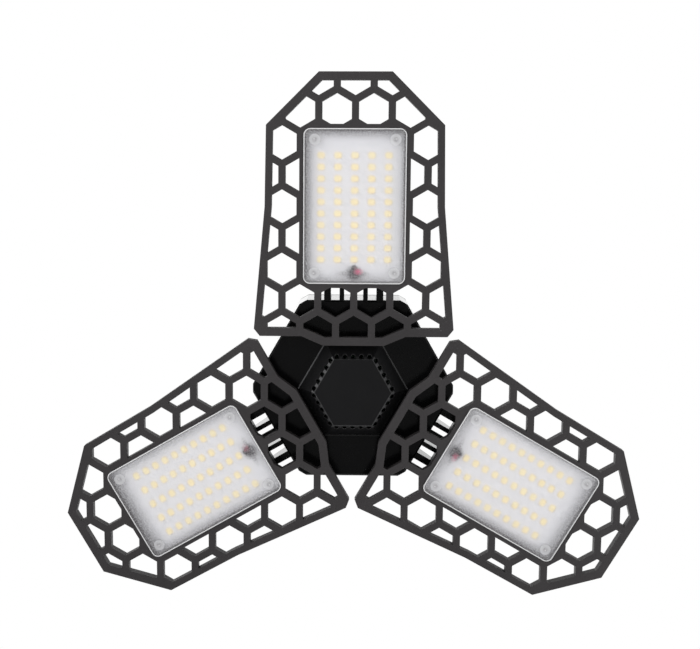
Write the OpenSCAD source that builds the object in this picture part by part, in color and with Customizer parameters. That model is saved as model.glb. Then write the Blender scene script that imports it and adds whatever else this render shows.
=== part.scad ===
// Folding garage ceiling lamp: a screw-in hub with three honeycomb leaves.
// Each leaf carries a light panel and folds up towards the screw base.
// Millimetres. The origin is the tip of the screw base and +Z points into the lampholder,
// so the lamp hangs below its origin and shines towards -Z.

/* [Screw base] */
// Diameter over the thread's crests
thread_d = 26.05; // [25.6:0.05:26.5]
// Height of the thread over its root
thread_depth = 0.85; // [0.6:0.05:1.1]
// Distance from crest to crest
thread_pitch = 3.629; // [3.2:0.01:4]
// Turns of thread
thread_turns = 4; // [3:0.25:4.25]
// How far the plain skirt stands over the crests, on the radius
skirt_proud = 0.1; // [0.05:0.05:0.4]
// Length of the plain skirt
skirt_h = 4.6; // [3.5:0.1:6]
// Thickness of the shell under the thread's root
shell_wall = 0.8; // [0.5:0.05:1.2]
// Length of the shell from its crimped top to its skirt's edge
shell_h = 22.2; // [21:0.1:26]
// Diameter of the centre contact
contact_d = 9.6; // [8:0.1:11]
// Thickness of the centre contact
contact_h = 1.2; // [0.8:0.1:2]
// Height of the insulator between the contact and the shell
insulator_h = 3.6; // [3:0.1:5]

/* [Neck] */
// Height of the neck under the screw shell
neck_h = 31; // [26:0.5:36]
// Diameter of the neck's straight part
neck_d = 38; // [35:0.5:42]
// Diameter of the neck's foot
neck_foot_d = 46; // [44:0.5:48]
// Height of the neck's foot
neck_foot_h = 3; // [2:0.5:4]
// Wall of the neck
neck_wall = 2.4; // [1.8:0.1:3]
// Cooling fins round the neck
neck_fins = 18; // [12:1:24]
// How far the fins stand out of the neck
fin_proud = 1.6; // [0.8:0.1:2]
// Thickness of a fin
fin_t = 1.8; // [1.2:0.1:2.6]

/* [Hub] */
// Distance from the axis to the hub's flats
hub_apothem = 46.5; // [45:0.5:50]
// Radius that trims the hub's corners
hub_corner_r = 52.4; // [51.9:0.1:53.5]
// Depth of the hub's cup
hub_depth = 28; // [26:0.5:34]
// Wall of the cup
hub_wall = 2.4; // [1.8:0.1:3]
// Thickness of the cup's front ring
ring_t = 2.2; // [1.6:0.1:3]
// Bevel along the cup's front edges
hub_bevel = 0.9; // [0.4:0.1:1.6]
// Height of the rear cover
dome_h = 15; // [12:0.5:20]
// Height of the rear cover's upright rim
dome_rim_h = 3; // [2:0.5:4]
// Distance from the axis to the flats at the rear cover's top
dome_top_apothem = 25; // [24:0.5:28]
// Wall of the rear cover
dome_wall = 2.2; // [1.8:0.1:2.8]
// Vent slots on each face of the rear cover
dome_slots = 5; // [2:1:5]
// Width of a vent slot
slot_w = 2.2; // [1.5:0.1:3]
// Distance between neighbouring slots
slot_pitch = 6.4; // [5.6:0.1:6.8]

/* [Front cap] */
// Distance from the axis to the flats at the cap's foot
cap_apothem = 24.3; // [22:0.1:26]
// Distance from the axis to the flats of the cap's face
face_apothem = 17.5; // [16.5:0.1:19]
// How far the panels' faces lie in front of the hub's ring
ring_drop = 14; // [13:0.5:18]
// How far the cap's face stops behind the panels' faces
cap_setback = 1; // [0:0.25:3]
// Wall of the cap
cap_wall = 1.8; // [1.4:0.1:2.4]
// Width of the flange that holds the cap behind the ring
cap_flange = 2; // [1:0.1:3]
// Vent holes along each side of the cap's face
cap_vents = 5; // [3:1:5]
// Diameter of a vent hole
vent_d = 2.1; // [1.5:0.1:2.6]
// Distance between neighbouring vent holes
vent_pitch = 4.2; // [3.6:0.1:4.4]
// How far the vent holes' line lies outside the face's flats
vent_offset = 0.9; // [0.8:0.1:1.8]
// Width of the fine rim round the cap's face
face_rim = 0.5; // [0.3:0.1:1]
// Depth of the cap's face inside its rim
face_recess = 0.25; // [0.1:0.05:0.5]

/* [Light panel] */
// Width of the lens window
window_w = 52; // [48:0.5:54]
// Length of the lens window
window_l = 78; // [76:0.5:82]
// Corner radius of the lens window
window_r = 3.75; // [2.5:0.25:5]
// How far the window's inner edge lies inside the hinge axis
window_inset = 2.1; // [0:0.1:3]
// Thickness of the honeycomb frame
panel_t = 5.5; // [5:0.25:7]
// Thickness of the tray's floor
tray_floor = 1.5; // [1.4:0.1:2]
// Wall round the tray
tray_wall = 1.9; // [1.5:0.1:3]
// Distance from the window's outer edge to the panel's outer end
end_margin = 27.4; // [24:0.2:32]
// Half the width of the panel's outer end
end_half_w = 18.3; // [15:0.1:22]
// How far the shoulders lie beyond the window's outer edge
shoulder_margin = 1.4; // [0:0.1:4]
// Frame beside the window at the shoulders
shoulder_side = 18.6; // [16:0.1:20]
// Frame beside the window at its middle
waist_side = 19.3; // [17:0.1:21]
// Size of the bevel on the inner corners, along the panel's width
corner_bevel_w = 3; // [1:0.1:4]
// Size of the bevel on the inner corners, along the panel's length
corner_bevel_l = 3.7; // [2:0.1:5]
// Gap between neighbouring panels' inner corners
leaf_gap = 2.8; // [2:0.1:6]
// Gap between the panel's nose and the cap
nose_gap = 4.7; // [3:0.1:6]
// How far the nose reaches in front of the inner edge
nose_depth = 4.7; // [3:0.1:6]
// Half the width of the nose's tip
nose_tip_half_w = 15.6; // [13:0.1:18]
// Half the width of the nose's root
nose_root_half_w = 26.6; // [22:0.1:30]

/* [Honeycomb] */
// Distance between neighbouring cells' centres
cell_pitch = 18.3; // [15:0.1:20]
// Rib between neighbouring cells
cell_rib = 3.6; // [2.6:0.1:4.5]
// Border between the cells and the panel's ends
border = 4.2; // [3:0.1:5]
// Border between the cells and the panel's long sides
side_border = 3.5; // [2.5:0.1:5]

/* [LED board] */
// Gap between the board and the tray's wall
board_gap = 0.7; // [0.3:0.1:1.5]
// Thickness of the board
board_t = 1; // [0.8:0.1:1.2]
// Rows of LEDs along the panel
led_rows = 10; // [6:1:10]
// Columns of LEDs across the panel
led_cols = 5; // [3:1:5]
// Distance from the window's ends to the middles of the first and the last row, before the shift
led_end = 12.9; // [11:0.1:15]
// Distance from the window's sides to the middles of the outer columns
led_side = 9; // [8:0.1:12]
// Length of an LED, across the panel
led_w = 3.5; // [2.8:0.1:4]
// Width of an LED, along the panel
led_l = 2.8; // [2:0.1:3.2]
// Height of an LED
led_h = 0.6; // [0.4:0.1:0.8]
// How far the field of LEDs is shifted inwards from the window's middle
led_shift = 0.65; // [0:0.05:0.8]

/* [Lens] */
// Gap round the lens in the tray
lens_gap = 0.15; // [0.1:0.05:0.4]
// Thickness of the lens
lens_t = 1.4; // [1.2:0.1:1.6]
// How far the lens stands out of the frame's face
lens_proud = 0.4; // [0:0.1:1]
// Wall round the back of the lens
lens_skirt = 1.2; // [0.8:0.1:2]
// Height of the gasket under that wall
gasket_h = 1; // [0.6:0.1:1.2]
// Diameter of a corner boss
lens_boss_d = 5.5; // [5:0.1:6.5]
// Distance from the window's edges to a corner boss's middle
lens_boss_inset = 5.75; // [5:0.05:7]

/* [Hinge] */
// Distance from the hub's flats to the hinge axis
hinge_reach = 11.5; // [10:0.1:14]
// Radius of a hub ear round the axis
ear_r = 4.8; // [4.4:0.1:5.2]
// Extra height of an ear at the hub's wall
ear_gusset = 8; // [4:0.5:10]
// Distance from the panel's middle to an inner ear
inner_ear_x = 4.9; // [4.4:0.1:5.4]
// Thickness of an inner ear
inner_ear_t = 2.4; // [1.5:0.1:2.6]
// Thickness of an outer ear
outer_ear_t = 3.6; // [2.4:0.1:3.8]
// Thickness of a knuckle
knuckle_t = 4.1; // [3.8:0.1:5]
// Radius of a knuckle round the axis
knuckle_r = 3.3; // [2.8:0.1:3.4]
// Gap between a knuckle and the ears beside it
knuckle_gap = 0.15; // [0.1:0.05:0.3]
// Thickness of the hinge leaf's plate
leaf_t = 2; // [1.6:0.1:2.5]
// Gap between the ears and the hinge leaf's plate
leaf_clear = 5.1; // [4.6:0.1:5.6]
// Half the width of the hinge leaf's plate
leaf_half_w = 15.8; // [15.4:0.1:16.6]
// How far the plate reaches inside the hinge axis
leaf_inner = 4.2; // [3.8:0.1:4.8]
// How far the plate reaches outside the hinge axis
leaf_outer = 9.6; // [9.2:0.1:12]
// Distance from the axis to the stop bar between the ears
stop_y = 2.9; // [2.8:0.1:3.2]
// Height of the stop bar's underside over the axis
stop_z = 2.5; // [2.4:0.1:2.8]
// Height of the stop bar
stop_h = 3.8; // [3:0.1:5]
// Gap between the stop bar and the knuckle's lug at rest
stop_gap = 0.3; // [0.2:0.05:0.4]

/* [Fasteners] */
// Diameter of the hinge bolts
bolt_d = 3; // [2.5:0.1:3.2]
// Gap round a hinge bolt, on the radius
bolt_clear = 0.06; // [0.03:0.01:0.09]
// Diameter of a hinge bolt's head
bolt_head_d = 5.6; // [5:0.1:6]
// Height of a hinge bolt's head
bolt_head_h = 2; // [1.6:0.1:2.4]
// Width across a hinge nut's flats
nut_w = 5.5; // [5:0.1:6]
// Height of a hinge nut
nut_h = 2.4; // [1.8:0.1:3]
// Diameter of a washer
washer_d = 7; // [6:0.1:7.6]
// Thickness of a washer
washer_t = 0.5; // [0.3:0.1:0.8]
// Diameter of the small screws
screw_d = 2.5; // [2.2:0.1:2.8]
// Diameter of a small screw's head
screw_head_d = 4.4; // [4:0.1:4.8]
// Height of a small screw's head
screw_head_h = 1.6; // [1.2:0.1:2]
// Gap round a small screw, on the radius
screw_clear = 0.05; // [0.03:0.01:0.1]
// Diameter of the posts that take small screws
post_d = 7; // [6:0.1:7.4]

/* [Leads] */
// Diameter of a panel's lead
lead_d = 2.6; // [2.4:0.1:3]
// Height of the lead over the hinge axis
lead_rise = 4.4; // [4.2:0.1:5]
// How far outside the axis the lead enters the panel
lead_entry = 6.2; // [6:0.1:6.4]
// Bend of the lead down to the panel
lead_bend = 5.2; // [4.5:0.1:5.8]
// Diameter of a single insulated core
core_d = 0.9; // [0.7:0.1:1]
// Wall of the grommets round the leads
grommet_wall = 0.4; // [0.3:0.05:0.6]

/* [Driver] */
// Thickness of the driver board
driver_t = 1.6; // [1:0.1:2]
// Height of the driver board over the ring's inner face
driver_rise = 9.8; // [9.6:0.1:11]
// Distance from the axis to the driver board's posts
driver_post_r = 31; // [30:0.5:32]
// How far the board's edge lies outside its posts' middles
driver_edge = 5; // [4:0.5:6]
// Diameter of a round capacitor
capacitor_d = 10; // [6:0.5:11]
// Height of a round capacitor
capacitor_h = 16; // [10:0.5:20]
// Diameter of the choke's flanges
choke_d = 11; // [8:0.5:12]
// Height of the choke
choke_h = 9.5; // [7:0.5:12]
// Diameter of the fuse
fuse_d = 4; // [3:0.1:4.5]
// Length of the fuse
fuse_l = 9; // [7:0.5:10]

/* [Hidden] */
$fn = 64;
fit = 0.2;                  // gap between parts that slide together once, when the lamp is put together
sunk = 0.5;                 // how far one shape of a piece runs into the next
panel_count = 3;
cos30 = cos(30);

shell_root_r = thread_d / 2 - thread_depth;
shell_inner_r = shell_root_r - shell_wall;
skirt_r = thread_d / 2 + skirt_proud;
z_insulator = -contact_h;
z_shell = z_insulator - insulator_h;
z_neck = z_shell - shell_h;
z_dome = z_neck - neck_h;
z_back = z_dome - dome_h;
z_ring = z_back - hub_depth;
z_face = z_ring - ring_drop;
z_cap = z_face + cap_setback;
z_panel_back = z_face + panel_t;
z_leaf = z_panel_back + leaf_t;
z_axis = z_leaf + leaf_clear + ear_r;

axis_y = hub_apothem + hinge_reach;
window_y = axis_y - window_inset + window_l / 2;
window_half = window_w / 2;
pocket_t = panel_t - tray_floor;
nose_y = cap_apothem - (cap_apothem - face_apothem) * (z_ring - z_panel_back) / (z_ring - z_cap) + nose_gap;
inner_y = nose_y + nose_depth;
corner_half = inner_y * sqrt(3) - leaf_gap;

outer_ear_x = inner_ear_x + inner_ear_t + knuckle_t + 2 * knuckle_gap;
knuckle_x = inner_ear_x + inner_ear_t + knuckle_gap;
hinge_half_w = outer_ear_x + outer_ear_t;
screw_r = screw_d / 2;
screw_hole_r = screw_r + screw_clear;
bolt_r = bolt_d / 2;
bolt_hole_r = bolt_r + bolt_clear;
lead_r = lead_d / 2;
core_r = core_d / 2;
lead_bore_r = lead_r + screw_clear;
z_lead = z_axis + lead_rise;
lead_y = axis_y + lead_entry;
grommet_r = lead_bore_r + grommet_wall;
grommet_flange = 0.9;
grommet_flange_r = grommet_r + 0.25;

z_driver = z_ring + ring_t + driver_rise;
z_driver_top = z_driver + driver_t;
corner_screw_r = hub_apothem - 1.5;
driver_r = driver_post_r + driver_edge;
plug_size = [7, 8, 6];
plug_inner_y = driver_r - 14;
transformer_place = [0, -16];
capacitor_x = 8;
capacitor_y = driver_r - 14;
film_capacitor_place = [10 - driver_r, -5];
rectifier_place = [driver_r - 21, 4];
choke_place = [driver_r - 16, -8];
fuse_place = [19 - driver_r, driver_r - 22];
fuse_turn = 20;
transformer_core = [18, 16, 15];
transformer_winding = [20, 8, 7];
film_capacitor_size = [6, 13, 11];
rectifier_size = [8, 6.5, 2.6];
cap_open = cap_apothem + 0.12;
cap_flange_t = 1.6;
screw_seat = 2;             // material under a housing screw's head
housing_screw_l = 12;
board_screw_l = 6;          // in the post, under the board
neck_inner_r = neck_d / 2 - neck_wall;
neck_spigot_r = shell_inner_r - fit;
neck_spigot_wall = 1.6;
z_spigot = z_shell - 4.6;
neck_floor = 3;
rivet_r = 1.4;
plug_h = 3;                 // insulator inside the shell
neck_screw_r = neck_inner_r - 3;
wire_hole_r = 8;
lens_boss_x = window_half - lens_boss_inset;
lens_boss_y = window_l / 2 - lens_boss_inset;
z_lens_back = z_face - lens_proud + lens_t;
z_board = z_face + pocket_t - board_t;
z_lead_end = z_panel_back - tray_floor + 0.2;
led_row_pitch = (window_l - 2 * led_end) / (led_rows - 1);
led_col_pitch = (window_w - 2 * led_side) / (led_cols - 1);
lead_steps = 5;
thread_steps = 24;
thread_top = z_shell - 3.1;
supply_x = 3;
supply_y = 4;
leaf_screw_x = 13;
leaf_screw_y = [-1.6, 6.9];
countersink_h = 1.3;

panel_nodes = ["panel_frame", "hinge_leaf", "leaf_screws", "led_board", "leds", "lens", "lens_gasket",
               "lens_screws", "wire_ends", "panel_grommet", "panel_lead"];

plastic = "#1c1c1e";
frame_black = "#3a3738";
metal = "#b9bcc0";

// ---------- shared shapes ----------

// Puts a leaf's own frame, with +Y outwards, at leaf number k
module at_panel(k) {
    rotate([0, 0, (k - 1) * 360 / panel_count]) children();
}

// One leaf's copy on each side of the hub that has one
module each_panel() {
    for (k = [1:panel_count]) at_panel(k) children();
}

// The hinge axis of a leaf as the origin
module at_hinge() {
    translate([0, axis_y, z_axis]) children();
}

// A profile drawn in (Y, Z), extruded along X from x to x + t
module along_x(x, t) {
    translate([x, 0, 0]) rotate([90, 0, 90]) linear_extrude(t) children();
}

// Both sides of a leaf's middle plane
module both_sides() {
    children();
    mirror([1, 0, 0]) children();
}

// Hexagon with its flats towards +Y and -Y, given the distance from its middle to a flat
module hexagon(apothem) {
    circle(r = apothem / cos30, $fn = 6);
}

module hex_prism(apothem, z0, z1) {
    translate([0, 0, z0]) linear_extrude(z1 - z0) hexagon(apothem);
}

// One pair of a frustum's sloping faces
module frustum_slab(a0, a1, h) {
    reach = 4 * max(a0, a1);
    along_x(-reach / 2, reach) polygon([[-a0, 0], [a0, 0], [a1, h], [-a1, h]]);
}

// Hexagonal frustum between z0, with flats at a0, and z1, with flats at a1
module hex_frustum(a0, a1, z0, z1) {
    translate([0, 0, z0]) intersection() {
        frustum_slab(a0, a1, z1 - z0);
        rotate([0, 0, 60]) frustum_slab(a0, a1, z1 - z0);
        rotate([0, 0, 120]) frustum_slab(a0, a1, z1 - z0);
    }
}

module rounded_rectangle(w, l, r) {
    square([w - 2 * r, l], center = true);
    square([w, l - 2 * r], center = true);
    for (x = [-1, 1]) for (y = [-1, 1]) translate([x * (w / 2 - r), y * (l / 2 - r)]) circle(r = r);
}

module rod(r, z0, z1) {
    translate([0, 0, z0]) cylinder(r = r, h = z1 - z0);
}

// Screw along +Z, head first: head from z to z + head_h, shank down to z - length
module pan_screw(r, head_r, head_h, length) {
    difference() {
        union() {
            rod(head_r, 0, head_h);
            rod(r, -length, sunk);
        }
        for (a = [0, 90]) rotate([0, 0, a])
            translate([-head_r * 0.6, -0.3, head_h * 0.45]) cube([head_r * 1.2, 0.6, head_h]);
    }
}

// Round tube along a list of points, flat at both ends
function unit(v) = v / norm(v);
function tube_dir(p, i) = unit(p[min(i + 1, len(p) - 1)] - p[max(i - 1, 0)]);
function tube_side(p, i) = let (d = tube_dir(p, i)) unit(cross(d, abs(d[0]) < 0.9 ? [1, 0, 0] : [0, 1, 0]));
function tube_ring(p, i, r, n) = let (side = tube_side(p, i), up = cross(tube_dir(p, i), side))
    [for (j = [0:n - 1]) p[i] + r * (cos(j * 360 / n) * side + sin(j * 360 / n) * up)];
module tube(p, r, n = 8) {
    last = (len(p) - 1) * n;
    polyhedron(
        points = [for (i = [0:len(p) - 1]) each tube_ring(p, i, r, n)],
        faces = concat(
            [[for (j = [0:n - 1]) j]],
            [[for (j = [n - 1:-1:0]) last + j]],
            [for (i = [0:len(p) - 2]) for (j = [0:n - 1])
                let (a = i * n + j, b = i * n + (j + 1) % n) each [[a, b + n, b], [a, a + n, b + n]]]));
}

// Points of a quarter bend in the plane x = 0, from heading +Y to heading -Z
function bend_down(y, z, r, steps) = [for (i = [1:steps])
    [0, y + r * sin(90 * i / steps), z - r + r * cos(90 * i / steps)]];

// Moves edge i of a closed outline, from point i to the next, inwards by d[i]; it runs anticlockwise.
// A corner between edges in almost one line moves by its first edge's distance.
function edge_normal(a, b) = let (d = unit(b - a)) [-d[1], d[0]];
function corner_inset(a, b, c, d0, d1) = let (
        m = edge_normal(a, b),
        n = edge_normal(b, c),
        along = m * n,
        turn = 1 - along * along)
    turn < 0.0001 ? b + d0 * m : b + ((d0 - d1 * along) * m + (d1 - d0 * along) * n) / turn;
function inset(p, d) = let (last = len(p) - 1) [for (i = [0:last])
    let (before = i == 0 ? last : i - 1, after = i == last ? 0 : i + 1)
    corner_inset(p[before], p[i], p[after], d[before], d[i])];

// ---------- screw base ----------

module centre_contact() {
    color(metal) {
        rod(contact_d / 2, z_insulator, 0);
        rod(rivet_r, z_shell - plug_h - 1, z_insulator + sunk);
    }
}

module base_insulator() {
    plug_r = shell_inner_r - 0.15;
    color("#15151a") difference() {
        union() {
            rotate_extrude() polygon([[0, z_shell], [plug_r, z_shell], [plug_r, z_shell + 0.6],
                                      [contact_d / 2 + 0.8, z_insulator], [0, z_insulator]]);
            rod(plug_r, z_shell - plug_h, z_shell + 0.1);
        }
        rod(rivet_r + screw_clear, z_shell - plug_h - 1, 0);
    }
}

// Right-handed ridge of the thread, a trapezium carried round from the top with its ends sunk into the root
function ridge_fade(i, last) = min(1, 0.4 + i / 6, 0.4 + (last - i) / 6);
function ridge_point(i, r, z) = let (a = 360 * (i + 0.5) / thread_steps)
    [r * cos(a), -r * sin(a), thread_top - thread_pitch * i / thread_steps + z];
function ridge_section(i, last) = let (
        crest = shell_root_r + thread_depth * ridge_fade(i, last),
        foot = shell_root_r - shell_wall / 2,
        flank = thread_pitch * 0.42,
        top = thread_pitch * 0.13)
    [ridge_point(i, foot, -flank), ridge_point(i, crest, -top), ridge_point(i, crest, top),
     ridge_point(i, foot, flank)];
module thread_ridge() {
    last = round(thread_turns * thread_steps);
    polyhedron(
        points = [for (i = [0:last]) each ridge_section(i, last)],
        faces = concat(
            [[0, 1, 2, 3], [4 * last + 3, 4 * last + 2, 4 * last + 1, 4 * last]],
            [for (i = [0:last - 1]) for (j = [0:3])
                let (a = 4 * i + j, b = 4 * i + (j + 1) % 4) each [[a, b + 4, b], [a, a + 4, b + 4]]]));
}

module screw_shell() {
    skirt_z = z_neck + skirt_h;
    color(metal) {
        rotate_extrude() polygon([
            [shell_inner_r, z_neck], [skirt_r, z_neck], [skirt_r, skirt_z - 0.5], [shell_root_r, skirt_z],
            [shell_root_r, z_shell - 1.2], [shell_inner_r + 0.2, z_shell], [shell_inner_r, z_shell]]);
        thread_ridge();
    }
}

// ---------- neck ----------

module neck() {
    shoulder_z = z_neck - 6;
    color(plastic) difference() {
        union() {
            rotate_extrude() polygon([
                [0, z_dome], [neck_foot_d / 2, z_dome], [neck_foot_d / 2, z_dome + neck_foot_h],
                [neck_d / 2 + 0.6, z_dome + neck_foot_h + 1.5], [neck_d / 2, z_dome + neck_foot_h + 4],
                [neck_d / 2, shoulder_z], [skirt_r + 2.2, z_neck - 1.6], [skirt_r + 1.4, z_neck],
                [0, z_neck]]);
            rod(neck_spigot_r, z_neck - sunk, z_spigot);
            for (i = [0:neck_fins - 1]) rotate([0, 0, 360 * (i + 0.5) / neck_fins])
                translate([neck_d / 2 - sunk, -fin_t / 2, z_dome + neck_foot_h])
                    cube([fin_proud + sunk, fin_t, shoulder_z - z_dome - neck_foot_h - 1]);
        }
        rotate_extrude() polygon([
            [0, z_dome + neck_floor], [neck_inner_r, z_dome + neck_floor], [neck_inner_r, shoulder_z - 2],
            [neck_spigot_r - neck_spigot_wall, z_neck - 3], [neck_spigot_r - neck_spigot_wall, z_spigot + 1],
            [0, z_spigot + 1]]);
        rod(wire_hole_r, z_dome - sunk, z_dome + neck_floor + sunk);
        for (i = [0:2]) rotate([0, 0, 120 * i + 60]) translate([neck_screw_r, 0, 0])
            rod(screw_hole_r, z_dome - sunk, z_dome + neck_floor + sunk);
    }
}

module neck_screws() {
    color(metal) for (i = [0:2]) rotate([0, 0, 120 * i + 60])
        translate([neck_screw_r, 0, z_dome - dome_wall]) rotate([180, 0, 0])
            pan_screw(screw_r, screw_head_d / 2, screw_head_h, dome_wall + neck_floor);
}

// ---------- hub ----------

// A hexagon of the hub with its corners trimmed round
module hub_prism(apothem, z0, z1) {
    intersection() {
        hex_prism(apothem, z0, z1);
        rod(hub_corner_r - hub_apothem + apothem, z0, z1);
    }
}

module rear_cover() {
    slope_z = z_back + dome_rim_h;
    foot = hub_apothem - 1;
    lip = hub_apothem - hub_wall - fit;
    slot_y = (foot + dome_top_apothem) / 2;
    color(plastic) difference() {
        union() {
            hub_prism(hub_apothem, z_back, slope_z);
            intersection() {
                hex_frustum(foot, dome_top_apothem, slope_z - 0.01, z_dome);
                rod(hub_corner_r - 1, slope_z - 0.01, z_dome);
            }
            hex_prism(lip, z_back - 3, z_back + sunk);
        }
        hex_frustum(foot - dome_wall - 1, dome_top_apothem - dome_wall, slope_z - 0.6, z_dome - dome_wall);
        hex_prism(foot - dome_wall - 1, z_back - 4, slope_z - 0.5);
        rod(wire_hole_r, z_dome - dome_wall - 1, z_dome + 1);
        for (i = [0:2]) rotate([0, 0, 120 * i + 60]) translate([neck_screw_r, 0, 0])
            rod(screw_hole_r, z_dome - dome_wall - 1, z_dome + 1);
        for (i = [0:5]) rotate([0, 0, 60 * i]) {
            translate([corner_screw_r, 0, 0]) {
                rod(post_d / 2 + 0.4, z_back - 4, z_back);
                rod(screw_hole_r, z_back - 1, z_dome);
                rod(screw_head_d / 2 + 0.4, z_back + screw_seat, z_dome);
            }
            rotate([0, 0, 30]) for (j = [0:dome_slots - 1])
                translate([slot_y, (j - (dome_slots - 1) / 2) * slot_pitch, z_back]) {
                    length = 10 - abs(j - (dome_slots - 1) / 2);
                    translate([-length / 2, -slot_w / 2, 0]) cube([length, slot_w, dome_h + 1]);
                    for (x = [-1, 1]) translate([x * length / 2, 0, 0]) cylinder(d = slot_w, h = dome_h + 1);
                }
        }
    }
    // seats under the housing screws' heads, over the cup's posts
    color(plastic) for (i = [0:5]) rotate([0, 0, 60 * i]) intersection() {
        hub_prism(hub_apothem, z_back, slope_z);
        translate([corner_screw_r, 0, 0]) difference() {
            rod(post_d / 2, z_back, z_back + screw_seat);
            rod(screw_hole_r, z_back - 1, z_back + screw_seat + 1);
        }
    }
}

// Profile of a hub ear in the plane across the hinge axis
module ear_profile() {
    root = -hinge_reach - sunk;
    circle(r = ear_r);
    polygon([[root, -ear_r], [0, -ear_r], [0, ear_r], [root, ear_r + ear_gusset]]);
    square([ear_r, stop_z + stop_h]);
}

module hinge_ears() {
    at_hinge() difference() {
        both_sides() {
            along_x(inner_ear_x, inner_ear_t) ear_profile();
            along_x(outer_ear_x, outer_ear_t) ear_profile();
            along_x(inner_ear_x, hinge_half_w - inner_ear_x)
                translate([stop_y, stop_z]) square([ear_r - stop_y, stop_h]);
        }
        along_x(-hinge_half_w - 1, 2 * hinge_half_w + 2) circle(r = bolt_hole_r);
        both_sides() along_x(outer_ear_x + outer_ear_t / 2 - 0.25, 0.5)
            translate([-hinge_reach, -ear_r - 1]) square([hinge_reach, 1.5]);
    }
}

module hub_housing() {
    inner = hub_apothem - hub_wall;
    floor_z = z_ring + ring_t;
    color("#0f0f11") {
        difference() {
            union() {
                hub_prism(hub_apothem, z_ring + hub_bevel, z_back);
                intersection() {
                    hex_frustum(hub_apothem - hub_bevel, hub_apothem, z_ring, z_ring + hub_bevel + 0.01);
                    rod(hub_corner_r - hub_bevel / 2, z_ring, z_ring + hub_bevel + 0.01);
                }
            }
            hex_prism(inner, floor_z, z_back + 1);
            hex_prism(cap_open, z_ring - 1, floor_z + 1);
            each_panel() translate([0, 0, z_lead])
                along_y_hole(grommet_r + screw_clear, inner - 1, hub_apothem + 1);
        }
        each_panel() hinge_ears();
        for (i = [0:5]) rotate([0, 0, 60 * i]) translate([corner_screw_r, 0, 0]) difference() {
            rod(post_d / 2, floor_z - sunk, z_back);
            rod(screw_hole_r, z_back - housing_screw_l, z_back + 1);
        }
        for (i = [0:2]) rotate([0, 0, 120 * i + 30]) translate([driver_post_r, 0, 0]) difference() {
            rod(post_d / 2, floor_z - sunk, z_driver);
            rod(screw_hole_r, z_driver - board_screw_l - 1, z_driver + 1);
        }
    }
}

// Round hole along +Y from y0 to y1
module along_y_hole(r, y0, y1) {
    translate([0, y1, 0]) rotate([90, 0, 0]) cylinder(r = r, h = y1 - y0);
}

module front_cap() {
    floor_z = z_ring + ring_t;
    inner_foot = cap_apothem - cap_wall;
    inner_face = face_apothem - cap_wall;
    color("#202021") difference() {
        union() {
            hex_frustum(face_apothem, cap_apothem, z_cap, z_ring + 0.01);
            hex_prism(cap_apothem, z_ring, floor_z + sunk);
            hex_prism(cap_apothem + cap_flange, floor_z, floor_z + cap_flange_t);
        }
        hex_frustum(inner_face, inner_foot, z_cap + cap_wall, z_ring + 0.01);
        hex_prism(inner_foot, z_ring, floor_z + cap_flange_t + 1);
        hex_prism(face_apothem - face_rim, z_cap - 1, z_cap + face_recess);
        for (i = [0:5]) rotate([0, 0, 60 * i]) for (j = [0:cap_vents - 1])
            translate([(j - (cap_vents - 1) / 2) * vent_pitch, face_apothem + vent_offset, 0])
                rod(vent_d / 2, z_cap - 1, z_cap + 8);
    }
}

module housing_screws() {
    color(metal) for (i = [0:5]) rotate([0, 0, 60 * i]) translate([corner_screw_r, 0, z_back + screw_seat])
        pan_screw(screw_r, screw_head_d / 2, screw_head_h, housing_screw_l);
}

// Grommet round a lead that runs along +Z through a wall from z0 to z1
module grommet(z0, z1) {
    difference() {
        union() {
            rod(grommet_r, z0 - grommet_flange, z1 + grommet_flange);
            rod(grommet_flange_r, z0 - grommet_flange, z0);
            rod(grommet_flange_r, z1, z1 + grommet_flange);
        }
        rod(lead_bore_r, z0 - grommet_flange - 1, z1 + grommet_flange + 1);
    }
}

module lead_grommets() {
    color("#242424") each_panel() translate([0, 0, z_lead]) rotate([-90, 0, 0])
        grommet(hub_apothem - hub_wall, hub_apothem);
}

// ---------- driver ----------

module driver_board() {
    color("#2d5a3a") difference() {
        rod(driver_r, z_driver, z_driver_top);
        for (i = [0:2]) rotate([0, 0, 120 * i + 30]) translate([driver_post_r, 0, 0])
            rod(screw_hole_r, z_driver - 1, z_driver_top + 1);
        for (i = [0:1]) rotate([0, 0, 180 * i]) translate([supply_x, supply_y, 0])
            rod(core_r + screw_clear, z_driver - 1, z_driver_top + 1);
    }
}

module board_screws() {
    color(metal) for (i = [0:2]) rotate([0, 0, 120 * i + 30]) translate([driver_post_r, 0, z_driver_top])
        pan_screw(screw_r, screw_head_d / 2, screw_head_h, driver_t + board_screw_l);
}

module transformer() {
    core = transformer_core;
    winding = transformer_winding;
    color("#c9b458") translate([transformer_place[0], transformer_place[1], z_driver_top]) {
        translate([-core[0] / 2, -core[1] / 2, 0]) cube([core[0], core[1], 3]);
        translate([2 - core[0] / 2, 1 - core[1] / 2, 3 - sunk])
            cube([core[0] - 4, core[1] - 2, core[2] - 3 + sunk]);
        translate([-winding[0] / 2, -winding[1] / 2, 5]) cube(winding);
    }
}

module capacitors() {
    color("#26262b") for (x = [-1, 1]) translate([x * capacitor_x, capacitor_y, z_driver_top]) {
        rod(capacitor_d / 2, 0, capacitor_h);
        rod(capacitor_d / 2 + 0.15, capacitor_h - 1, capacitor_h + 0.3);
    }
}

module film_capacitor() {
    color("#c8902c") translate([film_capacitor_place[0], film_capacitor_place[1], z_driver_top])
        cube(film_capacitor_size);
}

module rectifier() {
    color("#1b1b1d") translate([rectifier_place[0], rectifier_place[1], z_driver_top]) cube(rectifier_size);
}

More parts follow.
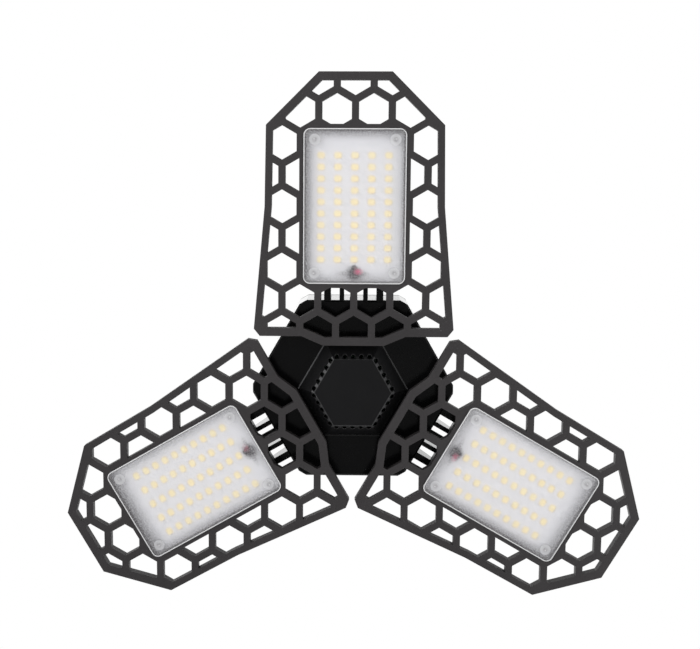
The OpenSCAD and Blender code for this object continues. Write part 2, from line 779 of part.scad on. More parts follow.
module choke() {
    flange_t = 1.5;
    color("#7c4a1e") translate([choke_place[0], choke_place[1], z_driver_top]) {
        rod(choke_d / 2, 0, flange_t);
        rod(choke_d / 2 - 1.5, flange_t - sunk, choke_h - flange_t + sunk);
        rod(choke_d / 2, choke_h - flange_t, choke_h);
    }
}

module fuse() {
    color("#9aa7ad") translate([fuse_place[0], fuse_place[1], z_driver_top + fuse_d / 2])
        rotate([90, 0, fuse_turn]) cylinder(d = fuse_d, h = fuse_l);
}

// Plugs under the board's edge that take the panels' leads
module lead_plugs() {
    color("#e8e6df") each_panel()
        translate([-plug_size[0] / 2, plug_inner_y, z_driver - plug_size[2]]) cube(plug_size);
}

// Run of a supply lead, from the driver board up through the neck, and its two ends: one at the
// contact's rivet and one over the spigot to the shell
supply_run = [[supply_x, supply_y, z_driver], [supply_x, supply_y, z_driver + 5], [3.4, 4.2, z_back - 5],
              [3.8, 4.4, z_back + 3], [4, 4, z_dome - 4], [4, 2.5, z_dome + 4], [4.5, 1, z_dome + 14],
              [5, 0, z_neck - 7], [5, 0, z_neck + 1], [5, 0, z_shell - 9.2]];
supply_ends = [[[4, 0, z_shell - 6.5], [rivet_r + 0.7, 0, z_shell - 3.7]],
               [[7.4, 0, z_shell - 6], [9, 0, z_shell - 3.8], [shell_inner_r - 0.1, 0, z_shell - 3.8]]];
module supply_leads() {
    color("#d8d8d8") for (i = [0:1]) rotate([0, 0, 180 * i]) tube(concat(supply_run, supply_ends[i]), core_r);
}

// ---------- hinges ----------

module hinge_bolts() {
    grip = 2 * (hinge_half_w + washer_t);
    color(metal) each_panel() at_hinge() translate([hinge_half_w + washer_t, 0, 0]) rotate([0, 90, 0])
        pan_screw(bolt_r, bolt_head_d / 2, bolt_head_h, grip + nut_h + 0.8);
}

module hinge_washers() {
    color(metal) each_panel() at_hinge() both_sides() along_x(hinge_half_w, washer_t) difference() {
        circle(d = washer_d);
        circle(r = bolt_hole_r);
    }
}

module hinge_nuts() {
    color(metal) each_panel() at_hinge() along_x(-hinge_half_w - washer_t - nut_h, nut_h) difference() {
        circle(d = nut_w / cos30, $fn = 6);
        circle(r = bolt_hole_r);
    }
}

// Profile of a knuckle: round the axis, down to the plate, with the lug that meets the stop bar
module knuckle_profile() {
    foot = ear_r + leaf_clear + sunk;
    circle(r = knuckle_r);
    translate([-knuckle_r, -foot]) square([knuckle_r + stop_z - 0.5, foot]);
    translate([-1.2, 0]) square([1.2 + stop_y - stop_gap, knuckle_r + 2]);
}

module hinge_leaf() {
    plate_z = z_panel_back - z_axis;
    color("#4a4a4d") at_hinge() difference() {
        union() {
            translate([-leaf_half_w, -leaf_inner, plate_z])
                cube([2 * leaf_half_w, leaf_inner + leaf_outer, leaf_t]);
            both_sides() along_x(knuckle_x, knuckle_t) knuckle_profile();
        }
        along_x(-hinge_half_w, 2 * hinge_half_w) circle(r = bolt_hole_r);
        translate([0, lead_entry, 0]) rod(grommet_flange_r + fit, plate_z - 1, plate_z + leaf_t + 1);
        for (x = [-1, 1]) for (y = leaf_screw_y) translate([x * leaf_screw_x, y, plate_z]) {
            rod(screw_hole_r, -1, leaf_t + 1);
            translate([0, 0, leaf_t - countersink_h])
                cylinder(r1 = screw_hole_r, r2 = screw_head_d / 2 + 0.1, h = countersink_h + 0.01);
        }
    }
}

module leaf_screws() {
    color(metal) for (x = [-1, 1]) for (y = leaf_screw_y)
        translate([x * leaf_screw_x, axis_y + y, z_leaf]) difference() {
            union() {
                rod(screw_r, -leaf_t - tray_floor + 0.5, 0);
                translate([0, 0, -countersink_h])
                    cylinder(r1 = screw_r, r2 = screw_head_d / 2, h = countersink_h);
            }
            for (a = [0, 90]) rotate([0, 0, a]) translate([-1.2, -0.25, -0.6]) cube([2.4, 0.5, 1]);
        }
}

// ---------- panel ----------

function right_side() = [
    [nose_tip_half_w, nose_y], [nose_root_half_w, inner_y], [corner_half, inner_y],
    [corner_half + corner_bevel_w, inner_y + corner_bevel_l], [window_half + waist_side, window_y],
    [window_half + shoulder_side, window_y + window_l / 2 + shoulder_margin],
    [end_half_w, window_y + window_l / 2 + end_margin]];
function mirrored(p) = [for (i = [len(p) - 1:-1:0]) [-p[i][0], p[i][1]]];
function panel_outline() = concat(right_side(), mirrored(right_side()));
// Border along each edge of the outline: edges 3 and 4 are the long side, and edge i mirrors edge 12 - i
function border_at(edge) = edge == 3 || edge == 4 ? side_border : border;
function panel_borders() = [for (i = [0:13]) border_at(min(i, 12 - i))];

// Cells of the honeycomb, centred on the window, that the border and the tray cut to shape
module cells() {
    row_pitch = cell_pitch * cos30;
    cell_r = (cell_pitch - cell_rib) / 2 / cos30;
    rows = ceil((window_l / 2 + end_margin) / row_pitch);
    cols = ceil((window_half + waist_side) / cell_pitch);
    intersection() {
        polygon(inset(panel_outline(), panel_borders()));
        translate([0, window_y]) for (j = [-rows:rows]) for (i = [-cols:cols])
            translate([(i + (j % 2 == 0 ? 0 : 0.5)) * cell_pitch, j * row_pitch])
                rotate(30) circle(r = cell_r, $fn = 6);
    }
}

module panel_frame() {
    color(frame_black) difference() {
        union() {
            translate([0, 0, z_face]) linear_extrude(panel_t) difference() {
                polygon(panel_outline());
                cells();
            }
            translate([0, window_y, z_face]) linear_extrude(panel_t)
                rounded_rectangle(window_w + 2 * tray_wall, window_l + 2 * tray_wall, window_r + tray_wall);
        }
        translate([0, window_y, z_face - 1]) linear_extrude(pocket_t + 1)
            rounded_rectangle(window_w, window_l, window_r);
        translate([0, window_y, 0]) for (x = [-1, 1]) for (y = [-1, 1])
            translate([x * lens_boss_x, y * lens_boss_y, 0]) rod(screw_hole_r, z_face, z_panel_back + 1);
        for (x = [-1, 1]) for (y = leaf_screw_y) translate([x * leaf_screw_x, axis_y + y, 0])
            rod(screw_hole_r, z_panel_back - tray_floor + 0.4, z_panel_back + 1);
        translate([0, lead_y, 0]) rod(grommet_r + screw_clear, z_face, z_panel_back + 1);
    }
}

module led_board() {
    w = window_w - 2 * board_gap;
    l = window_l - 2 * board_gap;
    color("#e6e8ec") difference() {
        translate([0, window_y, z_board]) linear_extrude(board_t)
            rounded_rectangle(w, l, window_r - board_gap);
        for (x = [-1, 1]) for (y = [-1, 1]) translate([x * lens_boss_x, window_y + y * lens_boss_y, 0])
            rod(screw_hole_r, z_face, z_panel_back);
        translate([0, lead_y, 0]) rod(lead_r, z_face, z_panel_back);
    }
}

module leds() {
    color("#f3dfa0") for (i = [0:led_rows - 1]) for (j = [0:led_cols - 1])
        translate([(j - (led_cols - 1) / 2) * led_col_pitch - led_w / 2,
                   window_y - led_shift + (i - (led_rows - 1) / 2) * led_row_pitch - led_l / 2,
                   z_board - led_h])
            cube([led_w, led_l, led_h]);
}

module lens() {
    w = window_w - 2 * lens_gap;
    l = window_l - 2 * lens_gap;
    r = window_r - lens_gap;
    skirt_end = z_board - gasket_h;
    color("#dfe0e6") translate([0, window_y, 0]) difference() {
        union() {
            translate([0, 0, z_face - lens_proud]) linear_extrude(lens_t) rounded_rectangle(w, l, r);
            difference() {
                translate([0, 0, z_lens_back - sunk]) linear_extrude(skirt_end - z_lens_back + sunk)
                    rounded_rectangle(w, l, r);
                translate([0, 0, z_lens_back - sunk - 1]) linear_extrude(skirt_end - z_lens_back + 4)
                    rounded_rectangle(w - 2 * lens_skirt, l - 2 * lens_skirt, r - lens_skirt);
            }
            for (x = [-1, 1]) for (y = [-1, 1]) translate([x * lens_boss_x, y * lens_boss_y, 0])
                rod(lens_boss_d / 2, z_lens_back - sunk, z_board);
        }
        for (x = [-1, 1]) for (y = [-1, 1]) translate([x * lens_boss_x, y * lens_boss_y, 0])
            rod(screw_hole_r, z_lens_back - 0.6, z_board + 1);
    }
}

module lens_gasket() {
    w = window_w - 2 * lens_gap - 0.2;
    l = window_l - 2 * lens_gap - 0.2;
    r = window_r - lens_gap - 0.1;
    skirt_end = z_board - gasket_h;
    side = max(lens_skirt, board_gap + 0.6);
    color("#cfd0d4") translate([0, window_y, skirt_end]) linear_extrude(gasket_h) difference() {
        rounded_rectangle(w, l, r);
        rounded_rectangle(w - 2 * side, l - 2 * side, r - side);
    }
}

module lens_screws() {
    length = z_panel_back - z_lens_back - 0.4;
    color(metal) translate([0, window_y, z_panel_back]) for (x = [-1, 1]) for (y = [-1, 1])
        translate([x * lens_boss_x, y * lens_boss_y, 0])
            pan_screw(screw_r, screw_head_d / 2, screw_head_h, length);
}

// Cores inside the tray: out of the lead, over the board's front and down to their pads
function core_route(side) = [
    [side * 0.7, lead_y, z_lead_end], [side * 0.7, lead_y, z_board - 0.5],
    [side * 0.8, lead_y - 0.45, z_board - 1.05], [side * 1.2, lead_y - 1.3, z_board - 1.2],
    [side * 1.8, lead_y - 2.1, z_board - 0.95], [side * 2.2, lead_y - 2.8, z_board - core_r - 0.1]];
module wire_ends() {
    color("#b83a44") tube(core_route(-1), core_r);
    color("#2c2c30") tube(core_route(1), core_r);
}

module panel_grommet() {
    color("#242424") translate([0, lead_y, 0]) difference() {
        union() {
            rod(grommet_r, z_lead_end, z_panel_back + grommet_flange);
            rod(grommet_flange_r, z_panel_back, z_panel_back + grommet_flange);
        }
        rod(lead_bore_r, z_panel_back - tray_floor - 1, z_panel_back + 2);
    }
}

// Lead: out of its plug, through the hub's wall, over the hinge bolt and down into the tray
function lead_route() = concat(
    [for (y = [plug_inner_y + plug_size[1], hub_apothem - 8, hub_apothem, hub_apothem + 5]) [0, y, z_lead]],
    [[0, lead_y - lead_bend, z_lead]],
    bend_down(lead_y - lead_bend, z_lead, lead_bend, lead_steps),
    [[0, lead_y, z_lead_end]]);
module panel_lead() {
    color("#1a1a1a") tube(lead_route(), lead_r);
}

centre_contact();
base_insulator();
screw_shell();
neck();
neck_screws();
rear_cover();
hub_housing();
front_cap();
housing_screws();
lead_grommets();
driver_board();
board_screws();
transformer();
capacitors();
film_capacitor();
rectifier();
choke();
fuse();
lead_plugs();
supply_leads();
hinge_bolts();
hinge_washers();
hinge_nuts();
for (k = [1:panel_count]) at_panel(k) {
    panel_frame();
    hinge_leaf();
    leaf_screws();
    led_board();
    leds();
    lens();
    lens_gasket();
    lens_screws();
    wire_ends();
    panel_grommet();
    panel_lead();
}
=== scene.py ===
import math

import bmesh
import bpy
import numpy as np
from mathutils import Matrix, Vector


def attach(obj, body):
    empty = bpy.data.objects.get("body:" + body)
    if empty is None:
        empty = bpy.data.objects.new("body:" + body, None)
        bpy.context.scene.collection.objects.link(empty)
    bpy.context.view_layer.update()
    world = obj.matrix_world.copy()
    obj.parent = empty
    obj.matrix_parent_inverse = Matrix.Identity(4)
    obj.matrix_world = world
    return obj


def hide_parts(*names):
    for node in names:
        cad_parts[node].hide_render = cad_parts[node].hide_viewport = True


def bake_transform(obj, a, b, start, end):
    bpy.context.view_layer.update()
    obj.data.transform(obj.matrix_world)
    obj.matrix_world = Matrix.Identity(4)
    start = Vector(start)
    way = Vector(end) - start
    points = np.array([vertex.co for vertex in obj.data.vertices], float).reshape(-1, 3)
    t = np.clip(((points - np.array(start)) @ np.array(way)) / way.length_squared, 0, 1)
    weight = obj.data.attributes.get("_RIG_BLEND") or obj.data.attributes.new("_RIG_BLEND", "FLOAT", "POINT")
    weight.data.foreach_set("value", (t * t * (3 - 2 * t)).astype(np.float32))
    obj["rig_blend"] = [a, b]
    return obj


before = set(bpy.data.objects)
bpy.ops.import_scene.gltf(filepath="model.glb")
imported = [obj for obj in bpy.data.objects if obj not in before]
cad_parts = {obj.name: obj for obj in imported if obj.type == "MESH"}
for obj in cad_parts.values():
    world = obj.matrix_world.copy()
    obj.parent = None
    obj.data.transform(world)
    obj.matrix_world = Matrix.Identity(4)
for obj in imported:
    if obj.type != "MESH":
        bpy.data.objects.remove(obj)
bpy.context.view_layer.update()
mm = 0.001
leaves = (1, 2, 3)
print("frame loaded:", len(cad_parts), "nodes")

# What a leaf's pieces share, in millimetres and at leaf 1: the window's middle, half sizes and corner, the corner
# posts and LEDs round that middle, the board's front and the lead over the hinge
leaf = {"windowY": 94.9, "halfW": 26.0, "halfL": 39.0, "corner": 3.6, "postX": 20.25, "postY": 33.25, "ledX": 8.5,
        "ledY": 5.8, "ledShift": 0.65, "boardZ": -112.0, "hingeY": 58.0, "leadY": 64.2, "leadZ": -93.2}


# The photograph's camera looks up at the lamp from below; image right is -X and image up is +Y.
camera = {"lens": 72, "sensor": 36, "turns": (9.53, -1.84, -0.20), "offset": (25.33, 2.30, -718.77), "faceZ": -0.115,
          "shift": (0.0664, 0.1046)}


def makeCamera():
    data = bpy.data.cameras.new("photoCamera")
    data.lens, data.sensor_width = camera["lens"], camera["sensor"]
    data.shift_x, data.shift_y = camera["shift"]
    turn = Matrix.Identity(3)
    for angle, axis in zip(camera["turns"], "XYZ"):
        turn = turn @ Matrix.Rotation(math.radians(angle), 3, axis)
    turn = turn @ Matrix(((-1, 0, 0), (0, 1, 0), (0, 0, -1)))
    place = Vector((0, 0, camera["faceZ"])) - turn.transposed() @ (Vector(camera["offset"]) * mm)
    made = bpy.data.objects.new("photoCamera", data)
    bpy.context.scene.collection.objects.link(made)
    made.matrix_world = Matrix.Translation(place) @ turn.transposed().to_4x4()
    data.clip_start, data.clip_end = 0.01, 20
    bpy.context.scene.camera = made


makeCamera()
print("camera placed")


# The model's frame turned about Z to leaf k, as a matrix for rows of points
def leafTurn(k):
    angle = math.radians(120 * (k - 1))
    return np.array([[math.cos(angle), math.sin(angle), 0], [-math.sin(angle), math.cos(angle), 0], [0, 0, 1]])


# Four-sided faces of a grid with that many rows and columns: each row is closed round, and the rows where asked
def gridFaces(rows, cols, closeRows=False):
    r = np.arange(rows if closeRows else rows - 1)[:, None]
    c = np.arange(cols)[None, :]
    nextRow, nextCol = (r + 1) % rows, (c + 1) % cols
    corners = [r * cols + c, r * cols + nextCol, nextRow * cols + nextCol, nextRow * cols + c]
    return np.stack([np.broadcast_to(a, (len(r), cols)) for a in corners], -1).reshape(-1, 4)


# A mesh from points and faces, with its normals made to point outwards
def addMesh(name, points, faces, uv=None, faceSlots=None, sharp=40):
    mesh = bpy.data.meshes.new(name)
    mesh.from_pydata(np.asarray(points, float).tolist(), [], [list(map(int, f)) for f in faces])
    mesh.validate()
    work = bmesh.new()
    work.from_mesh(mesh)
    bmesh.ops.remove_doubles(work, verts=work.verts, dist=1e-7)
    bmesh.ops.recalc_face_normals(work, faces=work.faces)
    work.to_mesh(mesh)
    work.free()
    if uv is not None:
        layUv(mesh, uv)
    if faceSlots is not None and len(faceSlots) == len(mesh.polygons):
        mesh.polygons.foreach_set("material_index", np.asarray(faceSlots, np.int32))
    smoothMesh(mesh, sharp)
    made = bpy.data.objects.new(name, mesh)
    bpy.context.scene.collection.objects.link(made)
    return made


def smoothMesh(mesh, sharp):
    mesh.polygons.foreach_set("use_smooth", np.ones(len(mesh.polygons), bool))
    mesh.set_sharp_from_angle(angle=math.radians(sharp))
    mesh.update()


# Each corner's UV is its leaf's own place on the window: 0.5 at the window's middle and 1 unit for 100 mm
def layUv(mesh, k):
    points = np.empty(len(mesh.vertices) * 3)
    mesh.vertices.foreach_get("co", points)
    local = points.reshape(-1, 3) @ leafTurn(k).T
    loops = np.empty(len(mesh.loops), np.int32)
    mesh.loops.foreach_get("vertex_index", loops)
    flat = (local[loops, :2] / mm - (0, leaf["windowY"])) / 100 + 0.5
    while mesh.uv_layers:
        mesh.uv_layers.remove(mesh.uv_layers[0])
    layer = mesh.uv_layers.new(name="leafPlan")
    layer.data.foreach_set("uv", flat.astype(np.float32).ravel())


# One shape set down at many places: each place is a matrix for rows of points and a shift
def repeated(points, faces, places):
    points = np.asarray(points, float)
    everyPoint = np.concatenate([points @ turn + np.asarray(shift) for turn, shift in places])
    everyFace = [[v + i * len(points) for v in f] for i in range(len(places)) for f in faces]
    return everyPoint, everyFace


# A profile of (radius, height) turned once round Z; radius may be a function of angle through wave(angle, height)
def turned(profile, steps, wave=None):
    profile = np.asarray(profile, float)
    angle = np.linspace(0, 2 * np.pi, steps, endpoint=False)[None, :]
    radius, height = profile[:, :1] + 0 * angle, profile[:, 1:] + 0 * angle
    if wave is not None:
        radius = radius + wave(angle, height)
    return np.stack((radius * np.cos(angle), radius * np.sin(angle), height), -1).reshape(-1, 3)


# A rounded rectangle, anticlockwise: quarter arcs about its four corner centres
def roundedLoop(halfW, halfL, corner, steps):
    a = np.linspace(0, np.pi / 2, steps)
    c, s = corner * np.cos(a), corner * np.sin(a)
    x, y = halfW - corner, halfL - corner
    arcs = ((x + c, y + s), (-x - s, y + c), (-x - c, -y - s), (x + s, -y - c))
    return np.concatenate([np.stack(arc, 1) for arc in arcs])


# Rounded rectangles stacked from (inset, height) pairs, joined into one closed skin with a flat face at each end
def ringStack(halfW, halfL, corner, stack, steps, least=0.3):
    loops = []
    for inset, height in stack:
        loop = roundedLoop(halfW - inset, halfL - inset, max(corner - inset, least), steps)
        loops.append(np.column_stack((loop, np.full(len(loop), height))))
    cols = 4 * steps
    faces = gridFaces(len(stack), cols).tolist()
    faces += [list(range(cols))[::-1], list(range((len(stack) - 1) * cols, len(stack) * cols))]
    return np.concatenate(loops), faces


# Round tube: a circle carried along a path, square to it, closed by a flat face at each end. The circle starts
# square to X as well.
def tubeAlong(path, radius, sides):
    ahead = np.gradient(path, axis=0)
    ahead /= np.linalg.norm(ahead, axis=1)[:, None]
    first = np.cross(ahead, (1.0, 0.0, 0.0))
    first /= np.linalg.norm(first, axis=1)[:, None]
    second = np.cross(ahead, first)
    angle = np.linspace(0, 2 * np.pi, sides, endpoint=False)[None, :, None]
    points = path[:, None] + radius * (np.cos(angle) * first[:, None] + np.sin(angle) * second[:, None])
    faces = gridFaces(len(path), sides).tolist()
    faces += [list(range(sides))[::-1], list(range((len(path) - 1) * sides, len(path) * sides))]
    return points.reshape(-1, 3), faces


# A smooth curve through the given points: each stretch is the cubic that keeps its neighbours' slope
def smoothPath(points, steps):
    p = np.asarray(points, float)
    p = np.vstack((2 * p[0] - p[1], p, 2 * p[-1] - p[-2]))
    t = np.linspace(0, 1, steps, endpoint=False)[None, :, None]
    a, b, c, d = (p[i:len(p) - 3 + i, None] for i in range(4))
    run = 0.5 * (2 * b + (c - a) * t + (2 * a - 5 * b + 4 * c - d) * t**2 + (3 * b - a - 3 * c + d) * t**3)
    return np.vstack((run.reshape(-1, 3), p[-2]))


# Points nearer than the weld are merged, and faces that turn by less than the flat angle are joined. An edge is sharp
# where its two faces turn by more than the limit, and upright where it climbs this many times its length in plan. A
# face is a wall where its normal's height is under the wall's number.
edgeRules = {"weld": 2e-6, "flat": 0.6, "limit": 28, "climb": 20, "wall": 0.3, "segments": 2, "evenWeight": 80}


# A copy of a model node with its sharp edges rounded: upright edges by corner, the others by rim, in millimetres
def roundedCopy(nodeName, pieceName, rim, corner, edgeSlot=1, wallSlot=0):
    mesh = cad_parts[nodeName].data.copy()
    mesh.name = pieceName
    work = bmesh.new()
    work.from_mesh(mesh)
    bmesh.ops.remove_doubles(work, verts=work.verts, dist=edgeRules["weld"])
    bmesh.ops.dissolve_limit(work, angle_limit=math.radians(edgeRules["flat"]), verts=work.verts, edges=work.edges)
    work.to_mesh(mesh)
    work.free()
    for name in [a.name for a in mesh.attributes if a.name in ("sharp_edge", "custom_normal", "sharp_face")]:
        mesh.attributes.remove(mesh.attributes[name])
    count = len(mesh.polygons)
    normals, sizes = np.empty(count * 3), np.empty(count, np.int32)
    mesh.polygons.foreach_get("normal", normals)
    mesh.polygons.foreach_get("loop_total", sizes)
    loopEdge = np.empty(len(mesh.loops), np.int32)
    mesh.loops.foreach_get("edge_index", loopEdge)
    order = np.argsort(loopEdge, kind="stable")
    owner = np.repeat(np.arange(count), sizes)[order]
    edges, starts, uses = np.unique(loopEdge[order], return_index=True, return_counts=True)
    pair = uses == 2
    normals = normals.reshape(-1, 3)
    turn = np.einsum("ij,ij->i", normals[owner[starts[pair]]], normals[owner[starts[pair] + 1]])
    ends = np.empty(len(mesh.edges) * 2, np.int32)
    mesh.edges.foreach_get("vertices", ends)
    points = np.empty(len(mesh.vertices) * 3)
    mesh.vertices.foreach_get("co", points)
    span = np.abs(np.diff(points.reshape(-1, 3)[ends.reshape(-1, 2)], axis=1)[:, 0])
    upright = span[:, 2] > edgeRules["climb"] * np.hypot(span[:, 0], span[:, 1])
    width = max(rim, corner)
    weight = np.zeros(len(mesh.edges), np.float32)
    sharpEdge = edges[pair][turn < math.cos(math.radians(edgeRules["limit"]))]
    weight[sharpEdge] = np.where(upright[sharpEdge], corner / width, rim / width)
    mesh.attributes.new("bevel_weight_edge", "FLOAT", "EDGE").data.foreach_set("value", weight)
    mesh.polygons.foreach_set("use_smooth", np.ones(count, bool))
    mesh.materials.clear()
    wall = np.abs(normals[:, 2]) < edgeRules["wall"]
    mesh.polygons.foreach_set("material_index", np.where(wall, wallSlot, 0).astype(np.int32))
    made = bpy.data.objects.new(pieceName, mesh)
    bpy.context.scene.collection.objects.link(made)
    bevel = made.modifiers.new("roundedEdges", "BEVEL")
    bevel.limit_method, bevel.width, bevel.segments = "WEIGHT", width * mm, edgeRules["segments"]
    bevel.use_clamp_overlap, bevel.material = True, edgeSlot
    even = made.modifiers.new("evenShading", "WEIGHTED_NORMAL")
    even.keep_sharp, even.weight = True, edgeRules["evenWeight"]
    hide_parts(nodeName)
    return made


# A value on its way through a shader: each sign of arithmetic adds one Math node
class Wire:
    def __init__(self, socket):
        self.socket, self.tree = socket, socket.id_data

    def apply(self, operation, *values):
        return Wire(addNode(self.tree, "Math", dict(enumerate(values)), operation=operation).outputs[0])

    def __add__(self, other):
        return self.apply("ADD", self, other)

    def __sub__(self, other):
        return self.apply("SUBTRACT", self, other)

    def __rsub__(self, other):
        return self.apply("SUBTRACT", other, self)

    def __mul__(self, other):
        return self.apply("MULTIPLY", self, other)

    def __truediv__(self, other):
        return self.apply("DIVIDE", self, other)

    def __pow__(self, other):
        return self.apply("POWER", self, other)

    def __abs__(self):
        return self.apply("ABSOLUTE", self)

    __radd__, __rmul__ = __add__, __mul__

    def clamped(self):
        self.socket.node.use_clamp = True
        return self


def addNode(tree, kind, sockets=None, **settings):
    made = tree.nodes.new("ShaderNode" + kind)
    for key, value in settings.items():
        setattr(made, key, value)
    for key, value in (sockets or {}).items():
        join(value, made.inputs[key])
    return made


def join(value, socket):
    if isinstance(value, Wire):
        socket.id_data.links.new(value.socket, socket)
    else:
        socket.default_value = value


def larger(a, b):
    return a.apply("MAXIMUM", a, b)


def smaller(a, b):
    return a.apply("MINIMUM", a, b)


def rounded(a):
    return a.apply("ROUND", a)


def distance(x, y):
    return x.apply("SQRT", x * x + y * y)


def splitXy(vector):
    return [Wire(socket) for socket in addNode(vector.tree, "SeparateXYZ", {0: vector}).outputs[:2]]


# Runs from 0 to 1 while value goes from low to high
def ramp(value, low, high, kind="SMOOTHSTEP"):
    return Wire(addNode(value.tree, "MapRange", {0: value, 1: low, 2: high}, interpolation_type=kind).outputs[0])


# One where value lies between low and high, fading to nothing over the soft width beyond
def between(value, low, high, soft):
    return ramp(value, low - soft, low) * ramp(value, high + soft, high)


def mixColour(amount, first, second):
    made = addNode(amount.tree, "Mix", data_type="RGBA")
    for value, number in ((amount, 0), (first, 6), (second, 7)):
        join(value, made.inputs[number])
    return Wire(made.outputs[2])


def noise(vector, scale, detail=2.0, roughness=0.5):
    sockets = {"Vector": vector, "Scale": scale, "Detail": detail, "Roughness": roughness}
    return Wire(addNode(vector.tree, "TexNoise", sockets).outputs["Fac"])


def newGroup(name, inputs, outputs):
    tree = bpy.data.node_groups.new(name, "ShaderNodeTree")
    for title, kind, value in inputs:
        socket = tree.interface.new_socket(title, in_out="INPUT", socket_type="NodeSocket" + kind)
        if value is not None:
            socket.default_value = value
    for title, kind in outputs:
        tree.interface.new_socket(title, in_out="OUTPUT", socket_type="NodeSocket" + kind)
    given = {socket.name: Wire(socket) for socket in tree.nodes.new("NodeGroupInput").outputs if socket.name}
    return tree, given, tree.nodes.new("NodeGroupOutput").inputs


def placeGroup(group, **values):
    made = addNode(values["Vector"].tree, "Group", node_tree=group)
    for key, value in values.items():
        join(value, made.inputs[key])
    return {socket.name: Wire(socket) for socket in made.outputs}


# Moulded or coated surface: a fine grain over a broad mottling, between two tones
def makeGrainGroup():
    tree, given, out = newGroup(
        "mouldedGrain",
        [("Vector", "Vector", None), ("ToneA", "Color", (0.1, 0.1, 0.1, 1)), ("ToneB", "Color", (0.2, 0.2, 0.2, 1)),
         ("Grain", "Float", 1500.0), ("Mottle", "Float", 40.0), ("Rough", "Float", 0.5), ("Spread", "Float", 0.1)],
        [("Color", "Color"), ("Roughness", "Float"), ("Height", "Float")])
    fine = noise(given["Vector"], given["Grain"], 3.0, 0.6)
    broad = noise(given["Vector"], given["Mottle"], 4.0, 0.55)
    tones = ramp(fine * 0.45 + broad * 0.55, 0.35, 0.65)
    join(mixColour(tones, given["ToneA"], given["ToneB"]), out["Color"])
    join((given["Rough"] + (broad - 0.5) * given["Spread"] * 2.0).clamped(), out["Roughness"])
    join(fine, out["Height"])
    return tree


# Handled metal: fine scratches drawn out along one direction, with duller patches
def makeScratchGroup():
    tree, given, out = newGroup(
        "handledMetal",
        [("Vector", "Vector", None), ("ToneA", "Color", (0.6, 0.6, 0.6, 1)), ("ToneB", "Color", (0.7, 0.7, 0.7, 1)),
         ("Stretch", "Vector", (300, 300, 4000)), ("Rough", "Float", 0.3), ("Spread", "Float", 0.15)],
        [("Color", "Color"), ("Roughness", "Float"), ("Height", "Float")])
    drawn = addNode(tree, "VectorMath", {0: given["Vector"], 1: given["Stretch"]}, operation="MULTIPLY")
    lines = noise(Wire(drawn.outputs[0]), 1.0, 3.0, 0.6)
    patches = noise(given["Vector"], 120.0, 3.0)
    join(mixColour(ramp(patches, 0.35, 0.65), given["ToneA"], given["ToneB"]), out["Color"])
    join((given["Rough"] + ((lines - 0.5) + (patches - 0.5)) * given["Spread"]).clamped(), out["Roughness"])
    join(lines, out["Height"])
    return tree


# Where a point of the window lies: millimetres inside the lens's edge, and millimetres from the nearest corner post.
# The edge is a rounded box: length of the part outside the corner centres, plus the larger part where both are inside.
def makeWindowGroup():
    tree, given, out = newGroup(
        "windowPlace",
        [("Vector", "Vector", None), ("HalfW", "Float", leaf["halfW"]), ("HalfL", "Float", leaf["halfL"]),
         ("Corner", "Float", leaf["corner"]), ("PostX", "Float", leaf["postX"]), ("PostY", "Float", leaf["postY"])],
        [("X", "Float"), ("Y", "Float"), ("Inside", "Float"), ("Post", "Float")])
    x, y = ((side - 0.5) * 100.0 for side in splitXy(given["Vector"]))
    ax, ay = abs(x), abs(y)
    qx = ax - (given["HalfW"] - given["Corner"])
    qy = ay - (given["HalfL"] - given["Corner"])
    outer = distance(larger(qx, 0.0), larger(qy, 0.0))
    inside = given["Corner"] - (outer + smaller(larger(qx, qy), 0.0))
    post = distance(ax - given["PostX"], ay - given["PostY"])
    for title, value in (("X", x), ("Y", y), ("Inside", inside), ("Post", post)):
        join(value, out[title])
    return tree


# Where a point lies on a six-sided piece: the side's number, by turning the point's angle back into one sixth of a
# turn, then the distance from the axis square to that side and the place along it, both in millimetres
def makeSixthGroup():
    tree, given, out = newGroup("sixthPlace", [("Vector", "Vector", None)],
                                [("Side", "Float"), ("Flat", "Float"), ("Along", "Float")])
    x, y = splitXy(given["Vector"])
    sixth = math.pi / 3
    angle = x.apply("ARCTAN2", y, x)
    side = rounded((angle - sixth / 2) / sixth)
    turn = angle - (side * sixth + sixth / 2)
    away = distance(x, y) * 1000.0
    join(side, out["Side"])
    join(away * x.apply("COSINE", turn), out["Flat"])
    join(away * x.apply("SINE", turn), out["Along"])
    return tree


grainGroup, scratchGroup, windowGroup, sixthGroup = (
    makeGrainGroup(), makeScratchGroup(), makeWindowGroup(), makeSixthGroup())


def startMaterial(name, coordinates="Object"):
    made = bpy.data.materials.new(name)
    made.use_nodes = True
    tree = made.node_tree
    tree.nodes.clear()
    shader = addNode(tree, "BsdfPrincipled")
    tree.links.new(shader.outputs[0], addNode(tree, "OutputMaterial").inputs[0])
    return made, shader, Wire(addNode(tree, "TexCoord").outputs[coordinates])


def rgba(colour):
    return (*colour, 1.0)


def addBump(shader, height, strength, distance):
    bump = addNode(shader.id_data, "Bump", {"Height": height, "Strength": strength, "Distance": distance})
    join(Wire(bump.outputs[0]), shader.inputs["Normal"])


# A material from a look and the group that turns it into colour, roughness and height
def surfaced(name, look, group, depth, **values):
    made, shader, place = startMaterial(name)
    dark, light = map(rgba, look["tones"])
    made.diffuse_color = dark
    surface = placeGroup(group, Vector=place, ToneA=dark, ToneB=light, Rough=look["rough"], **values)
    join(surface["Color"], shader.inputs["Base Color"])
    join(surface["Roughness"], shader.inputs["Roughness"])
    addBump(shader, surface["Height"], look["bump"], depth)
    return made, shader.inputs


